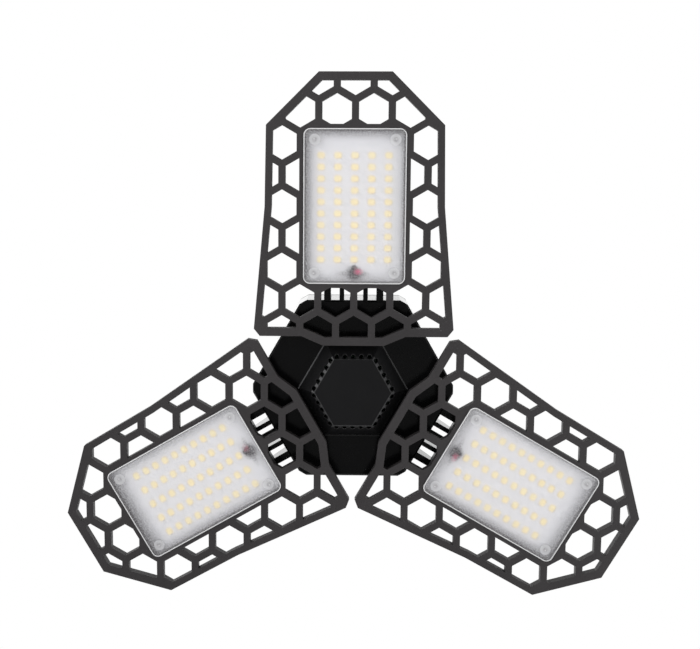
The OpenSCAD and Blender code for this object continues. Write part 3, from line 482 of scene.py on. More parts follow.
# Moulded plastic, paint or rubber
def coated(name, look):
    made, inputs = surfaced(name, look, grainGroup, look["depth"], Grain=look["grain"], Mottle=look["mottle"],
                            Spread=look["spread"])
    inputs["Specular IOR Level"].default_value = look["shine"]
    inputs["Coat Weight"].default_value = look["coat"]
    inputs["Coat Roughness"].default_value = look["coatRough"]
    return made


# Bare or plated metal
def metal(name, look):
    made, inputs = surfaced(name, look, scratchGroup, 0.02 * mm, Stretch=look["stretch"], Spread=look["spread"])
    inputs["Metallic"].default_value = 1.0
    return made


# The strength that a piece's side has in a table of sides
def bySide(side, weights):
    return sum(side.apply("COMPARE", side, number, 0.5) * weight for number, weight in weights.items())


# Painted highlight lines on a six-sided piece, standing for light caught by its edges: a band along each side, and on a
# side with vent holes the teeth between them and the holes' outer rims, each with that side's strength
def addPaintedHighlights(material, look):
    nodes = {node.type: node for node in material.node_tree.nodes}
    colour = nodes["BSDF_PRINCIPLED"].inputs["Base Color"]
    base = Wire(colour.links[0].from_socket)
    at = placeGroup(sixthGroup, Vector=Wire(nodes["TEX_COORD"].outputs["Object"]))
    mask = between(at["Flat"], *look["band"]) * bySide(at["Side"], look["line"])
    if "vent" in look:
        flat, pitch, most, inner, outer = look["vent"]
        row = at["Along"] / pitch
        dx = at["Along"] - smaller(larger(rounded(row), -most), most) * pitch
        dy = at["Flat"] - flat
        arc = between(distance(dx, dy), inner, outer, 0.15) * ramp(dy, 0.1, 0.6)
        mask = larger(mask, arc * bySide(at["Side"], look["rims"]))
        low, high, half = look["tooth"]
        middle = abs(row.apply("FRACT", row) - 0.5) * pitch
        tooth = ramp(middle, half + 0.3, half - 0.1) * between(at["Flat"], low, high, 0.25)
        mask = larger(mask, tooth * bySide(at["Side"], look["teeth"]))
    # the painted highlight tone is mixed over the surface's own colour where the mask lies
    join(mixColour(mask, base, rgba(look["light"])), colour)


# One coat: two tones, the grain's scale, the roughness, the bump and its depth in thousandths of a millimetre
def coat(dark, light, grain, rough, bump, depth, **more):
    plain = {"mottle": 45.0, "spread": 0.06, "shine": 0.5, "coat": 0.0, "coatRough": 0.1}
    return plain | {"tones": (dark, light), "grain": grain, "rough": rough, "bump": bump, "depth": depth * 1e-6} | more


# The lighter edge coats of the frame, hub, cap and housing are copies of their pieces' coats laid on rounded edges: a
# painted highlight
coats = {
    "frameCoat": coat((0.027, 0.0242, 0.0255), (0.034, 0.0308, 0.0322), 1900.0, 0.5, 0.35, 50, shine=0.4),
    # frame walls: a darker, duller copy of the frame's coat; the darker tone is painted shade
    "frameWallShaded": coat((0.024, 0.0215, 0.0225), (0.032, 0.029, 0.03), 1900.0, 0.6, 0.35, 50, shine=0.2),
    "frameEdgeLit": coat((0.038, 0.034, 0.035), (0.052, 0.047, 0.048), 1900.0, 0.38, 0.2, 40, shine=0.5),
    "hubGloss": coat((0.0022, 0.0022, 0.0024), (0.0034, 0.0034, 0.0036),
                     260.0, 0.17, 0.015, 30, mottle=18.0, shine=0.12, spread=0.012),
    "hubEdgeLit": coat((0.03, 0.03, 0.031), (0.055, 0.055, 0.056), 900.0, 0.22, 0.05, 30, shine=0.6),
    "capMatte": coat((0.0042, 0.0042, 0.0047), (0.006, 0.006, 0.0067), 3200.0, 0.5, 0.25, 30, shine=0.16),
    "capEdgeLit": coat((0.07, 0.07, 0.072), (0.11, 0.11, 0.112), 2400.0, 0.3, 0.1, 30, shine=0.6),
    "housingBlack": coat((0.011, 0.011, 0.012), (0.016, 0.016, 0.017), 2600.0, 0.42, 0.35, 40, shine=0.45),
    "housingEdgeLit": coat((0.02, 0.02, 0.021), (0.03, 0.03, 0.031), 2600.0, 0.36, 0.2, 40, shine=0.5),
    "leafPaint": coat((0.02, 0.02, 0.021), (0.027, 0.027, 0.028), 2100.0, 0.4, 0.3, 40, shine=0.5),
    "insulatorGlass": coat((0.006, 0.006, 0.01), (0.014, 0.014, 0.02), 500.0, 0.12, 0.1, 40, coat=0.6, coatRough=0.05),
    "leadSheath": coat((0.01, 0.01, 0.01), (0.017, 0.017, 0.017), 2800.0, 0.5, 0.3, 40, shine=0.4),
    "rubberBlack": coat((0.012, 0.012, 0.012), (0.02, 0.02, 0.02), 3000.0, 0.62, 0.4, 40, shine=0.3),
    "wireRed": coat((0.46, 0.035, 0.07), (0.58, 0.06, 0.1), 2400.0, 0.4, 0.2, 30),
    "wireDark": coat((0.012, 0.012, 0.014), (0.022, 0.022, 0.024), 2400.0, 0.42, 0.2, 30),
    "wireWhite": coat((0.62, 0.62, 0.61), (0.72, 0.72, 0.71), 2400.0, 0.42, 0.2, 30),
    "ledCeramic": coat((0.88, 0.74, 0.4), (0.94, 0.8, 0.46), 4000.0, 0.45, 0.1, 20),
    "gasketWhite": coat((0.62, 0.62, 0.63), (0.72, 0.72, 0.73), 2600.0, 0.6, 0.3, 40),
    "driverGreen": coat((0.02, 0.1, 0.045), (0.035, 0.15, 0.07), 900.0, 0.35, 0.15, 40, coat=0.4),
    "tapeYellow": coat((0.6, 0.43, 0.08), (0.7, 0.52, 0.13), 1200.0, 0.35, 0.2, 50, coat=0.3),
    "sleeveDark": coat((0.014, 0.015, 0.03), (0.026, 0.028, 0.045), 1400.0, 0.25, 0.1, 40, coat=0.4),
    "filmOrange": coat((0.52, 0.19, 0.02), (0.62, 0.26, 0.04), 1100.0, 0.24, 0.1, 50, coat=0.5),
    "plugWhite": coat((0.66, 0.64, 0.58), (0.75, 0.73, 0.67), 2200.0, 0.4, 0.2, 30),
}
metalLooks = {
    "nickelShell": {"tones": ((0.62, 0.60, 0.56), (0.72, 0.70, 0.66)), "stretch": (120, 120, 5200), "rough": 0.26,
                    "spread": 0.22, "bump": 0.12},
    "contactTin": {"tones": ((0.58, 0.56, 0.52), (0.70, 0.68, 0.64)), "stretch": (900, 900, 900), "rough": 0.32,
                   "spread": 0.3, "bump": 0.25},
    "zincSteel": {"tones": ((0.52, 0.53, 0.55), (0.62, 0.63, 0.65)), "stretch": (1500, 1500, 1500), "rough": 0.3,
                  "spread": 0.2, "bump": 0.1},
    "copperWire": {"tones": ((0.58, 0.22, 0.08), (0.70, 0.30, 0.12)), "stretch": (200, 200, 3500), "rough": 0.3,
                   "spread": 0.15, "bump": 0.35},
}
finishes = {name: coated(name, look) for name, look in coats.items()}
finishes.update({name: metal(name, look) for name, look in metalLooks.items()})

# Painted highlight lines on the front cap and the hub ring. Sides are numbered anticlockwise from the one at 30
# degrees.
# A band is its inner and outer distance and softness; a vent row its distance, pitch, last number and the rim's inner
# and outer radius; a tooth its distances and half width
paintedHighlightLooks = {
    "capMatte": {"band": (17.0, 17.4, 0.12), "line": {0: 0.38, 1: 0.06, 2: 0.24, -3: 0.34, -2: 0.32, -1: 0.30},
                 "vent": (18.4, 4.2, 2, 0.9, 1.2), "rims": {0: 0.12, 1: 0.45, 2: 0.2, -3: 0.25, -2: 0.6, -1: 0.25},
                 "tooth": (17.4, 18.5, 0.7), "teeth": {0: 1.0, 1: 0.10, 2: 0.5, -3: 0.55, -2: 0.25, -1: 0.5},
                 "light": (0.12, 0.12, 0.123)},
    "hubGloss": {"band": (24.4, 24.95, 0.15), "line": {0: 1.0, 2: 0.45, -2: 0.12}, "light": (0.13, 0.13, 0.133)},
}
for name, look in paintedHighlightLooks.items():
    addPaintedHighlights(finishes[name], look)


# Frosted lens: a bright bead at its edge, a speckled painted shade that reaches in from each side by its own length,
# and an even haze over the middle. Reaches and weights of the painted shade run +x, -x, outer and inner, in the leaf's
# own plan.
lensLook = {
    "haze": 0.26, "bead": 0.85, "gap": 0.2, "middle": (0.95, 0.95, 0.975), "dark": (0.08, 0.075, 0.08),
    "pink": (0.78, 0.17, 0.30), "speckle": 130.0, "rough": 0.34, "postR": 2.75, "boreR": 1.35,
    "reach": {1: (6.5, 4.1, 6.5, 6.5), 2: (6.0, 7.2, 9.2, 8.7), 3: (6.5, 5.9, 11.2, 4.5)},
    "weight": {1: (0.80, 0.94, 0.75, 0.50), 2: (0.28, 0.84, 0.67, 0.32), 3: (0.72, 0.28, 0.84, 0.10)},
    "smudge": (0.0, -33.5, 5.6, 4.9), "tail": (0.2, -33.6, 10.6, 2.1), "pinkPlace": (-2.2, -32.6, 3.3, 2.2),
    "pinkWeight": {1: 0.62, 2: 0.36, 3: 0.16}, "glint": (20.6, 33.5, 0.5, 0.5), "ring": (0.78, 0.78, 0.80),
    "bore": (0.20, 0.19, 0.20), "light": (1, 1, 1), "beadTone": (0.86, 0.86, 0.87), "gapShadeTone": (0.02, 0.02, 0.02),
    "fall": 1.6, "from": 0.4, "rimReach": 4.5, "rimWeight": 0.2, "bumpDepth": 0.05,
    "share": {"smudge": 0.82, "tail": 0.55, "ring": 0.5, "bore": 0.34, "glint": 0.4, "bead": 0.85, "gap": 0.75},
}


# Distance from a smudge's middle, in parts of its half width and half length
def ellipse(x, y, place):
    middleX, middleY, halfX, halfY = place
    return distance((x - middleX) / halfX, (y - middleY) / halfY)


# Lays a colour of some strength over a surface that has a colour and an opacity already
def overlay(base, veil, colour, strength):
    total = veil + strength - veil * strength
    return mixColour(strength / total, base, rgba(colour)), total


def makeLensMaterial(k):
    look, share = lensLook, lensLook["share"]
    made, shader, place = startMaterial(f"lensFrost{k}", "UV")
    at = placeGroup(windowGroup, Vector=place)
    x, y = at["X"], at["Y"]
    grains = noise(place, look["speckle"], 2.0, 0.6)
    coarse = noise(place, 14.0, 3.0, 0.6)
    speck = ramp(grains, 0.43, 0.57)
    # painted shade: a dark veil reaching in from the lens's edge all round, then from each side by its leaf's reach and
    # weight
    shade = ramp(at["Inside"], look["rimReach"], look["from"], "LINEAR") ** look["fall"] * look["rimWeight"]
    edges = (leaf["halfW"] - x, leaf["halfW"] + x, leaf["halfL"] - y, leaf["halfL"] + y)
    for edge, reach, weight in zip(edges, look["reach"][k], look["weight"][k]):
        far = coarse * (0.32 * reach) + 0.84 * reach
        shade = larger(shade, ramp(edge, far, look["from"], "LINEAR") ** look["fall"] * weight)
    colour, veil = overlay(rgba(look["middle"]), look["haze"], look["dark"], (shade * (speck * 0.9 + 0.5)).clamped())
    # painted shade of the cores under the lens, scattered through the frost: a speckled dark patch with thin tails and
    # a pink side from the red core
    blotch = speck * 0.9 + 0.45
    smudge = ramp(ellipse(x, y, look["smudge"]), 1.0, 0.3) * share["smudge"]
    tail = ramp(ellipse(x, y, look["tail"]), 1.0, 0.2) * share["tail"]
    pink = ramp(ellipse(x, y, look["pinkPlace"]), 1.0, 0.1) * look["pinkWeight"][k]
    # corner posts: a soft light ring round a speckled grey bore, with a painted glint as a highlight
    ring = ramp(at["Post"], look["postR"] + 0.3, look["postR"] - 0.3) * share["ring"]
    bore = ramp(at["Post"], look["boreR"] + 0.2, look["boreR"] - 0.5) * blotch * share["bore"]
    glint = ramp(ellipse(abs(x), abs(y), look["glint"]), 1.0, 0.4) * share["glint"]
    bead = ramp(at["Inside"], look["bead"], look["bead"] - 0.2) * share["bead"]
    # a near-black line along the lens's very edge: painted shade of the gap between lens and frame
    gap = ramp(at["Inside"], look["gap"] + 0.08, look["gap"] - 0.05) * share["gap"]
    layers = {"dark": (larger(smudge, tail) * blotch).clamped(), "pink": pink * blotch, "ring": ring, "bore": bore,
              "light": glint, "beadTone": bead, "gapShadeTone": gap}
    for tone, strength in layers.items():
        colour, veil = overlay(colour, veil, look[tone], strength)
    join(colour, shader.inputs["Base Color"])
    join(veil, shader.inputs["Alpha"])
    addBump(shader, grains, 0.25, look["bumpDepth"] * mm)
    join(grains * 0.2 + look["rough"], shader.inputs["Roughness"])
    return made


# Inner side of the lens: nearly clear
def makeLensInner():
    made, shader, place = startMaterial("lensClear", "UV")
    grains = noise(place, 300.0)
    join(mixColour(grains, (0.86, 0.87, 0.9, 1), (0.95, 0.95, 0.98, 1)), shader.inputs["Base Color"])
    join(grains * 0.04 + 0.05, shader.inputs["Alpha"])
    shader.inputs["Roughness"].default_value = 0.3
    return made


# White board: solder mask with a painted soft yellow glow round each LED, which also gives off a faint emission, and
# faint tracks under the mask.
# The nearest LED is found by rounding the place to the grid's pitch.
boardLook = {
    "white": (0.91, 0.91, 0.945), "grey": (0.85, 0.85, 0.89), "glow": (1.0, 0.80, 0.42), "halfX": 1.6, "halfY": 1.4,
    "soft": 0.95, "round": 1.0, "emit": 0.13, "fieldX": 21.3, "fieldY": 29.0, "trackTo": 0.9,
    "trackUp": 0.04,
}


def makeBoardMaterial():
    made, shader, place = startMaterial("boardMask", "UV")
    look = boardLook
    at = placeGroup(windowGroup, Vector=place)
    x, y = at["X"], at["Y"] + leaf["ledShift"]
    dx = abs(x - rounded(x / leaf["ledX"]) * leaf["ledX"])
    row = y / leaf["ledY"]
    dy = abs(y - (row.apply("FLOOR", row) + 0.5) * leaf["ledY"])
    px = larger(dx - (look["halfX"] - look["round"]), 0.0)
    py = larger(dy - (look["halfY"] - look["round"]), 0.0)
    away = distance(px, py) - look["round"]
    field = x.apply("LESS_THAN", abs(x), look["fieldX"]) * y.apply("LESS_THAN", abs(y), look["fieldY"])
    # painted glow: yellow mixed into the mask round each LED and emitted as well
    glow = ramp(away, look["soft"], -0.2) ** 1.5 * field
    mottle = noise(place, 30.0, 3.0)
    colour = mixColour(ramp(mottle, 0.3, 0.7), rgba(look["white"]), rgba(look["grey"]))
    join(mixColour(glow * 0.9, colour, rgba(look["glow"])), shader.inputs["Base Color"])
    shader.inputs["Emission Color"].default_value = rgba(look["glow"])
    join(glow * look["emit"], shader.inputs["Emission Strength"])
    addBump(shader, ramp(dx, look["trackTo"], look["trackTo"] - 0.2) * field, 0.4, look["trackUp"] * mm)
    join(mottle * 0.15 + 0.4, shader.inputs["Roughness"])
    return made


# LED phosphor: yellow gel, paler where it thins out, with a faint painted glow given as emission in its own colour
phosphorLook = {"tones": ((1.0, 0.80, 0.36), (1.0, 0.87, 0.48)), "glow": 0.15}


def makePhosphor():
    made, shader, place = startMaterial("phosphor")
    gel = noise(place, 700.0, 2.0)
    colour = mixColour(ramp(gel, 0.3, 0.7), *map(rgba, phosphorLook["tones"]))
    join(colour, shader.inputs["Base Color"])
    join(colour, shader.inputs["Emission Color"])
    shader.inputs["Emission Strength"].default_value = phosphorLook["glow"]
    join(gel * 0.2 + 0.25, shader.inputs["Roughness"])
    return made


def makeFuseGlass():
    made, shader, place = startMaterial("fuseGlass")
    smear = noise(place, 500.0, 3.0)
    join(mixColour(smear, (0.70, 0.78, 0.80, 1), (0.86, 0.90, 0.90, 1)), shader.inputs["Base Color"])
    join(smear * 0.1 + 0.06, shader.inputs["Roughness"])
    shader.inputs["Transmission Weight"].default_value = 0.85
    return made


finishes.update({f"lensFrost{k}": makeLensMaterial(k) for k in leaves})
finishes.update({"lensClear": makeLensInner(), "boardMask": makeBoardMaterial(), "phosphor": makePhosphor(),
                 "fuseGlass": makeFuseGlass()})
print("materials made:", len(finishes))


def dress(piece, *names):
    for name in names:
        piece.data.materials.append(finishes[name])


# Honeycomb frame: the model's own shape with its cells' corners and rims rounded; the rounded edges take a lighter coat
# as a painted highlight, and the walls a darker, duller coat as painted shade
def makeFrames():
    look = {"rim": 0.32, "corner": 0.42}
    for k in leaves:
        piece = roundedCopy(f"panel_frame_{k}", f"honeycombFrame_{k}", look["rim"], look["corner"], wallSlot=2)
        dress(piece, "frameCoat", "frameEdgeLit", "frameWallShaded")
        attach(piece, f"panel_{k}")


# Lens: rounded rectangles carried from the middle of the front, over a raised bead, down the side, up inside and
# back to the middle, so that the skin is closed
def makeLenses():
    look = {"beadUp": 0.22, "bead": 0.75, "front": -115.4, "back": -114.0, "end": -113.0, "wall": 1.2, "gap": 0.15,
            "steps": 10}
    front, bead, back, end, wall = (look[key] for key in ("front", "bead", "back", "end", "wall"))
    swell = [(bead * (1 - math.cos(a)) / 2, front - look["beadUp"] * math.sin(a))
             for a in np.linspace(0.35, math.pi, 9)]
    stack = [(8.0, front), (5.0, front), (2.0, front), (bead + 0.12, front)] + swell[::-1]
    stack += [(0.0, front + 0.15), (0.0, end - 0.15), (0.12, end), (wall, end), (wall, back + 0.2),
              (wall + 0.2, back), (8.0, back)]
    halves = leaf["halfW"] - look["gap"], leaf["halfL"] - look["gap"]
    points, faces = ringStack(*halves, leaf["corner"], stack, look["steps"])
    cols, outer = 4 * look["steps"], 4 + len(swell) + 1
    slots = [0] * (outer * cols) + [1] * ((len(stack) - 1 - outer) * cols) + [0, 1]
    for k in leaves:
        placed = (points + (0, leaf["windowY"], 0)) * mm @ leafTurn(k)
        piece = addMesh(f"frostedLens_{k}", placed, faces, uv=k, faceSlots=slots, sharp=50)
        dress(piece, f"lensFrost{k}", "lensClear")
        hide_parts(f"lens_{k}")
        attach(piece, f"panel_{k}")


# The middles of the window's four corner posts at one height, in metres and at leaf 1
def postPlaces(height):
    return np.array([(x * leaf["postX"], leaf["windowY"] + y * leaf["postY"], height)
                     for x in (-1, 1) for y in (-1, 1)]) * mm


# Corner posts of the lens: a profile of (radius, height) turned round each screw
def makeLensPosts():
    look = {"outer": 2.75, "bore": 1.3, "top": -113.9, "foot": -112.05, "steps": 32}
    profile = [(look["bore"], look["foot"]), (look["outer"], look["foot"]), (look["outer"] + 0.1, look["top"] + 0.3),
               (look["outer"] - 0.1, look["top"]), (look["bore"] + 0.2, look["top"]), (look["bore"], look["top"] + 0.2)]
    points = turned(profile, look["steps"]) * mm
    faces = gridFaces(len(profile), look["steps"], closeRows=True).tolist()
    many, manyFaces = repeated(points, faces, [(np.eye(3), place) for place in postPlaces(0)])
    for k in leaves:
        piece = addMesh(f"lensPosts_{k}", many @ leafTurn(k), manyFaces, uv=k)
        dress(piece, "lensClear")
        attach(piece, f"panel_{k}")


# Board: the model's own plate, with the plan laid on it for its pattern
def makeBoards():
    look = {"rim": 0.12, "corner": 0.3}
    for k in leaves:
        piece = roundedCopy(f"led_board_{k}", f"ledBoard_{k}", look["rim"], look["corner"], edgeSlot=0)
        layUv(piece.data, k)
        dress(piece, "boardMask")
        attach(piece, f"panel_{k}")


# LED: a rounded ceramic tray, its rim, and a gel that bulges in the middle, as stacked rounded rectangles
def makeLeds():
    look = {"w": 3.5, "l": 2.8, "h": 0.6, "corner": 0.9, "cols": 5, "rows": 10, "steps": 4}
    stack = [(0.0, 0.0), (0.0, 0.42), (0.08, 0.56), (0.2, look["h"]), (0.42, 0.53), (0.6, 0.56), (0.95, look["h"])]
    points, faces = ringStack(look["w"] / 2, look["l"] / 2, look["corner"], stack, look["steps"], least=0.16)
    points = points * (1, 1, -1)
    cols = 4 * look["steps"]
    slots = [0] * (2 * cols) + [1] * (4 * cols) + [0, 1]
    x, y = (a.ravel() for a in np.meshgrid(np.arange(look["cols"]) - (look["cols"] - 1) / 2,
                                           np.arange(look["rows"]) - (look["rows"] - 1) / 2))
    shifts = np.column_stack((x * leaf["ledX"], y * leaf["ledY"] - leaf["ledShift"] + leaf["windowY"],
                              np.full(x.size, leaf["boardZ"]))) * mm
    many, manyFaces = repeated(points * mm, faces, [(np.eye(3), s) for s in shifts])
    for k in leaves:
        piece = addMesh(f"ledField_{k}", many @ leafTurn(k), manyFaces, faceSlots=slots * len(shifts))
        dress(piece, "ledCeramic", "phosphor")
        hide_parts(f"leds_{k}")
        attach(piece, f"panel_{k}")


# Cores inside the tray: a round tube along a smooth curve from the lead to a solder bead on the board
def makeWires():
    look = {"r": 0.45, "bead": 0.75, "beadUp": 0.5, "red": [(-0.7, 64.2, -110.8), (-0.7, 64.2, -112.5),
            (-0.8, 63.75, -113.05), (-1.2, 62.9, -113.2), (-1.8, 62.1, -112.95), (-2.2, 61.4, -112.55)]}
    path = smoothPath(look["red"], 6)
    for k in leaves:
        for name, side, finish in (("red", 1, "wireRed"), ("dark", -1, "wireDark")):
            mirrored = path * (side, 1, 1)
            points, faces = tubeAlong(mirrored * mm, look["r"] * mm, 12)
            drop = np.linspace(0, np.pi / 2, 6)
            bead = turned(np.column_stack((look["bead"] * np.cos(drop) + 1e-4, -look["beadUp"] * np.sin(drop))), 16)
            beadPoints = (bead + (*mirrored[-1][:2], leaf["boardZ"] - 0.02)) * mm
            beadFaces = gridFaces(6, 16).tolist() + [list(range(16))]
            slots = [0] * len(faces) + [1] * len(beadFaces)
            faces = faces + [[v + len(points) for v in f] for f in beadFaces]
            piece = addMesh(f"{name}Core_{k}", np.vstack((points, beadPoints)) @ leafTurn(k), faces, faceSlots=slots)
            dress(piece, finish, "zincSteel")
            if name == "red":
                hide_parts(f"wire_ends_{k}")
            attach(piece, f"panel_{k}")


# Lead from the hub to a leaf: straight over the hinge, a quarter bend, then down into the tray
def makeLeads():
    look = {"r": 1.3, "bend": 5.2, "startY": 30.0, "endZ": -110.8, "blendY": 49.5, "blendZ": -99.5}
    lastY, firstZ, bend = leaf["leadY"], leaf["leadZ"], look["bend"]
    straight = np.linspace(look["startY"], lastY - bend, 40, endpoint=False)
    angle = np.linspace(0, np.pi / 2, 20)
    down = np.linspace(firstZ - bend, look["endZ"], 14)[1:]
    y = np.concatenate((straight, lastY - bend + bend * np.sin(angle), np.full(len(down), lastY)))
    z = np.concatenate((np.full(len(straight), firstZ), firstZ - bend * (1 - np.cos(angle)), down))
    path = np.column_stack((np.zeros(len(y)), y, z)) * mm
    for k in leaves:
        points, faces = tubeAlong(path, look["r"] * mm, 24)
        piece = addMesh(f"leafLead_{k}", points @ leafTurn(k), faces)
        dress(piece, "leadSheath")
        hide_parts(f"panel_lead_{k}")
        ends = np.array([(0, look["blendY"], firstZ), (0, lastY, look["blendZ"])]) * mm @ leafTurn(k)
        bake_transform(piece, "hub", f"panel_{k}", start=tuple(ends[0]), end=tuple(ends[1]))


makeFrames()
makeLenses()
makeLensPosts()
makeBoards()
makeLeds()
makeWires()
makeLeads()
print("leaves made")


# How far a point lies inside a cross, from 0 to 1: the bars' half width less the smaller of x and y, times their half
# length less the larger, each over its soft edge. The larger of the two comes back as well.
def crossAt(x, y, halfWide, halfLong, softWide, softLong):
    near, far = np.minimum(np.abs(x), np.abs(y)), np.maximum(np.abs(x), np.abs(y))
    return np.clip((halfWide - near) / softWide, 0, 1) * np.clip((halfLong - far) / softLong, 0, 1), far


# The cross's half length and half width and the dome's drop, as parts of the head's radius and height
screwRules = {"arm": 0.62, "armWide": 0.17, "rings": 12, "dome": 0.42}


# Screw with a domed head: the head's top is a polar grid, height falling as the square of the radius, with a cross
# pressed in that grows shallower away from the middle
def screwShape(r, headR, headH, length, recess=0.75, steps=48):
    rings = screwRules["rings"]
    rr = np.linspace(0.04, 1, rings)[:, None] * headR
    a = np.linspace(0, 2 * np.pi, steps, endpoint=False)[None, :]
    x, y = rr * np.cos(a), rr * np.sin(a)
    top = headH * (1 - screwRules["dome"] * (rr / headR) ** 2) + 0 * a
    cross, far = crossAt(x, y, screwRules["armWide"] * headR, screwRules["arm"] * headR, 0.06 * headR, 0.1 * headR)
    top = top - recess * headH * cross * (1 - 0.4 * far / headR)
    head = np.stack((x, y, top), -1).reshape(-1, 3)
    below = turned([(headR, 0.0), (r, 0.0), (r, -length + 0.3), (r - 0.3, -length)], steps)
    faces = gridFaces(rings + 4, steps).tolist()
    faces += [list(range(steps))[::-1], list(range((rings + 3) * steps, (rings + 4) * steps))]
    return np.vstack((head, below)), faces


# Countersunk screw, flush: a flat top with a cross pressed in, and a cone below
def flushShape(r, headR, headH, length):
    look = {"steps": 40, "armWide": 0.16, "deep": 0.7}
    points, faces = screwShape(r, headR, 0, length, 0, look["steps"])
    heights = points[:, 2].reshape(-1, look["steps"])
    rings = screwRules["rings"]
    x, y = points[:rings * look["steps"], :2].T
    cross = crossAt(x, y, look["armWide"] * headR, screwRules["arm"] * headR, 0.12, 0.2)[0]
    heights[:rings] = -look["deep"] * cross.reshape(rings, -1)
    heights[rings], heights[rings + 1] = -0.05, -headH
    return np.column_stack((points[:, :2], heights.ravel())), faces


def addScrews(name, node, shape, places, body):
    points, faces = repeated(shape[0] * mm, shape[1], places)
    piece = addMesh(name, points, faces, sharp=35)
    dress(piece, "zincSteel")
    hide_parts(node)
    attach(piece, body)


def makeFasteners():
    look = {"ringR": 45, "ringZ": -71.0, "length": 12, "lensZ": -109.5, "lensLength": 4.1, "leafX": 13.0,
            "leafY": (-1.6, 6.9), "leafZ": -107.5, "boltX": 15.8, "boltZ": -97.6}
    small, flush, bolt = (1.25, 2.2, 1.6), (1.25, 2.2, 1.3, 3.0), (1.5, 2.8, 2.0, 34.8)
    angles = np.radians(60 * np.arange(6))
    ring = np.column_stack((look["ringR"] * np.cos(angles), look["ringR"] * np.sin(angles),
                            np.full(6, look["ringZ"]))) * mm
    upright = np.eye(3)
    addScrews("housingScrews", "housing_screws", screwShape(*small, look["length"]), [(upright, p) for p in ring],
              "hub")
    backs = postPlaces(look["lensZ"])
    inLeaf = np.array([(x * look["leafX"], leaf["hingeY"] + y, look["leafZ"]) for x in (-1, 1)
                       for y in look["leafY"]]) * mm
    for k in leaves:
        turn = leafTurn(k)
        addScrews(f"lensScrews_{k}", f"lens_screws_{k}", screwShape(*small, look["lensLength"]),
                  [(upright, p) for p in backs @ turn], f"panel_{k}")
        addScrews(f"leafScrews_{k}", f"leaf_screws_{k}", flushShape(*flush), [(upright, p) for p in inLeaf @ turn],
                  f"panel_{k}")
    # bolts lie along X through the hinge axis, head at +X
    alongX = np.array([[0, 0, -1], [0, 1, 0], [1, 0, 0]], float)
    head = np.array([look["boltX"], leaf["hingeY"], look["boltZ"]]) * mm
    addScrews("hingeBolts", "hinge_bolts", screwShape(*bolt), [(alongX @ leafTurn(k), head @ leafTurn(k))
                                                               for k in leaves], "hub")
    for node, name, edge in (("hinge_nuts", "hingeNuts", 0.25), ("hinge_washers", "hingeWashers", 0.08)):
        piece = roundedCopy(node, name, edge, edge, edgeSlot=0)
        dress(piece, "zincSteel")
        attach(piece, "hub")


makeFasteners()
print("fasteners made")


# Hub pieces and hinge leaves: the model's own shapes with their edges rounded, and the rounded edges laid in a lighter
# coat as a painted highlight
def makeHub():
    looks = {
        "hub_housing": ("hubCup", 0.32, 0.5, "hubGloss", "hubEdgeLit", "gloss_black", "hub"),
        "front_cap": ("frontCap", 0.16, 0.3, "capMatte", "capEdgeLit", "cap_black", "hub"),
        "rear_cover": ("rearCover", 0.35, 0.5, "housingBlack", "housingEdgeLit", "black_plastic", "hub"),
        "neck": ("finnedNeck", 0.3, 0.4, "housingBlack", "housingEdgeLit", "black_plastic", "hub"),
    }
    for node, (name, rim, corner, finish, edge, slot, body) in looks.items():
        piece = roundedCopy(node, name, rim, corner)
        dress(piece, finish, edge)
        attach(piece, body)
    for k in leaves:
        piece = roundedCopy(f"hinge_leaf_{k}", f"hingeLeaf_{k}", 0.2, 0.25)
        dress(piece, "leafPaint", "frameEdgeLit")
        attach(piece, f"panel_{k}")


# Screw shell: a sheet rolled to a thread. Its radius is the root plus half the depth times one plus the cosine of the
# angle along the helix, which rises one pitch for each turn anticlockwise, and fades out at both ends
def makeShell():
    look = {"root": 12.175, "depth": 0.85, "pitch": 3.629, "top": -7.9, "skirt": 13.125, "inner": 11.375,
            "low": -27.0, "lip": -4.8, "skirtH": 4.6}
    skirtTop = look["low"] + look["skirtH"]
    profile = [(look["skirt"] - 0.12, look["low"]), (look["skirt"], look["low"] + 0.15),
               (look["skirt"], skirtTop - 0.5), (look["root"] + 0.45, skirtTop - 0.12)]
    profile += [(look["root"], z) for z in np.linspace(skirtTop, look["top"] + 1.9, 110)]
    profile += [(look["root"] - 0.25 + 0.25 * math.cos(a), look["top"] + 1.9 + 1.2 * math.sin(a))
                for a in np.linspace(0.1, 1.5, 6)]
    profile += [(look["inner"] + 0.1, look["lip"] - 0.02), (look["inner"], look["lip"] - 0.2),
                (look["inner"], look["low"])]

    def thread(angle, height):
        along = 2 * np.pi * (height - look["top"]) / look["pitch"] - angle
        rise = np.clip((height - skirtTop) / 1.2, 0, 1) * np.clip((look["top"] + 1.6 - height) / 2.2, 0, 1)
        inThread = (height >= skirtTop - 0.01) & (height <= look["top"] + 1.95)
        return np.where(inThread, look["depth"] * (1 + np.cos(along)) / 2 * rise, 0)

    steps = 120
    points = turned(profile, steps, thread)
    points[-2 * steps:] = turned(profile[-2:], steps)
    piece = addMesh("screwShell", points * mm, gridFaces(len(profile), steps, closeRows=True).tolist(), sharp=50)
    dress(piece, "nickelShell")
    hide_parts("screw_shell")
    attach(piece, "hub")


